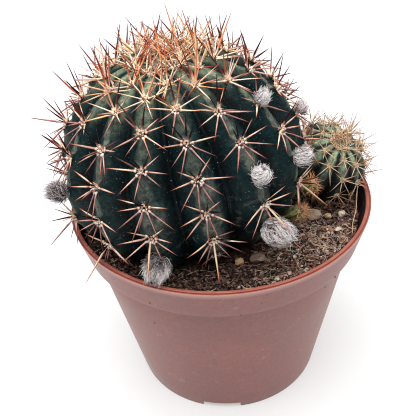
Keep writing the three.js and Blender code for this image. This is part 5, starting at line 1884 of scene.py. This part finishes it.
felt_wool = wool_material("areole_felt")
felt.pads.piece("areole_pads", felt_wool, "bud_wool")
felt.hairs.piece("areole_hairs", felt_wool, "bud_wool")

wool = wool_material("bud_wool")
for index, bud in enumerate(WOOL_BUDS):
    wool_bud(index, bud, wool)

build_pot(pot_material(), pot_inside_material())
build_soil(soil_material())
litter = tinted_material("soil_litter", roughness=0.95, size=0.8, bump=0.2)
build_crumbs(litter)
build_fibres(litter)
build_roots(litter)
build_wall_specks(litter)
pebble = tinted_material("pebble", roughness=0.8, size=1.4, bump=0.3)
for index, stone in enumerate(STONES):
    build_stone(index, stone, pebble)


# Stage

# The studio's brightness, from the front to the back and from the floor to overhead.
WORLD_FRONT_TO_BACK = (0.08, 0.48)
WORLD_LOW_TO_HIGH = (0.08, 0.4)

# The floor's half width and how far it lies below the pot, and the lamp, all in metres and watts.
FLOOR_HALF = 20.0
FLOOR_DROP = 0.0002
LAMP_PLACE = (-0.05, -0.12, 0.9)
LAMP_TARGET = (0, 0, 0.1)
LAMP_SIDE = 0.8
LAMP_POWER = 10.5

# How far a pixel of the picture takes in its surroundings.
PIXEL_FILTER_WIDTH = 1.1


def build_lamp():
    """One large soft lamp overhead, a little to the front and the left."""
    light = bpy.data.lights.new("overhead", "AREA")
    light.shape = "RECTANGLE"
    light.size = LAMP_SIDE
    light.size_y = LAMP_SIDE
    light.energy = LAMP_POWER
    lamp = new_object("overhead", light)
    lamp.location = LAMP_PLACE
    lamp.rotation_mode = "QUATERNION"
    lamp.rotation_quaternion = (Vector(LAMP_TARGET) - Vector(LAMP_PLACE)).to_track_quat("-Z", "Y")


def build_world():
    """A studio that is bright overhead and behind, and dim towards the front."""
    world = bpy.data.worlds.new("studio")
    world.use_nodes = True
    nodes, links = world.node_tree.nodes, world.node_tree.links
    place = nodes.new("ShaderNodeTexCoord")
    split = nodes.new("ShaderNodeSeparateXYZ")
    links.new(place.outputs["Generated"], split.inputs["Vector"])
    total = nodes.new("ShaderNodeMath")
    for slot, (axis, ends) in enumerate({"Y": WORLD_FRONT_TO_BACK, "Z": WORLD_LOW_TO_HIGH}.items()):
        spread = nodes.new("ShaderNodeMapRange")
        spread.interpolation_type = "SMOOTHSTEP"
        spread.inputs["From Min"].default_value = -1 if axis == "Y" else 0
        spread.inputs["To Min"].default_value = ends[0]
        spread.inputs["To Max"].default_value = ends[1]
        links.new(split.outputs[axis], spread.inputs["Value"])
        links.new(spread.outputs["Result"], total.inputs[slot])
    background = nodes["Background"]
    background.inputs["Color"].default_value = (1, 1, 1, 1)
    links.new(total.outputs["Value"], background.inputs["Strength"])
    bpy.context.scene.world = world


def build_floor():
    """A floor so wide that its edge is out of sight."""
    mesh = bpy.data.meshes.new("floor")
    corners = [(-1, -1), (1, -1), (1, 1), (-1, 1)]
    mesh.from_pydata(
        [(x * FLOOR_HALF, y * FLOOR_HALF, -FLOOR_DROP) for x, y in corners], [], [(0, 1, 2, 3)])
    mesh.materials.append(floor_material())
    floor = new_object("floor", mesh)


def build_camera():
    """The photograph's camera."""
    right, up = Vector(CAMERA_RIGHT).normalized(), Vector(CAMERA_UP)
    up = (up - right * up.dot(right)).normalized()
    back = right.cross(up)
    place = Vector(CAMERA_PLACE) * MM
    camera = bpy.data.cameras.new("camera")
    camera.sensor_width = SENSOR_WIDTH
    camera.lens = FOCAL_PIXELS / PICTURE_PIXELS * SENSOR_WIDTH
    camera.clip_start = 0.01
    camera.clip_end = 20
    mount = new_object("camera", camera)
    mount.matrix_world = Matrix((
        (right.x, up.x, back.x, place.x),
        (right.y, up.y, back.y, place.y),
        (right.z, up.z, back.z, place.z),
        (0, 0, 0, 1)))
    bpy.context.scene.camera = mount


build_floor()
build_world()
build_lamp()
build_camera()
bpy.context.scene.view_settings.view_transform = "Standard"
bpy.context.scene.cycles.filter_width = PIXEL_FILTER_WIDTH
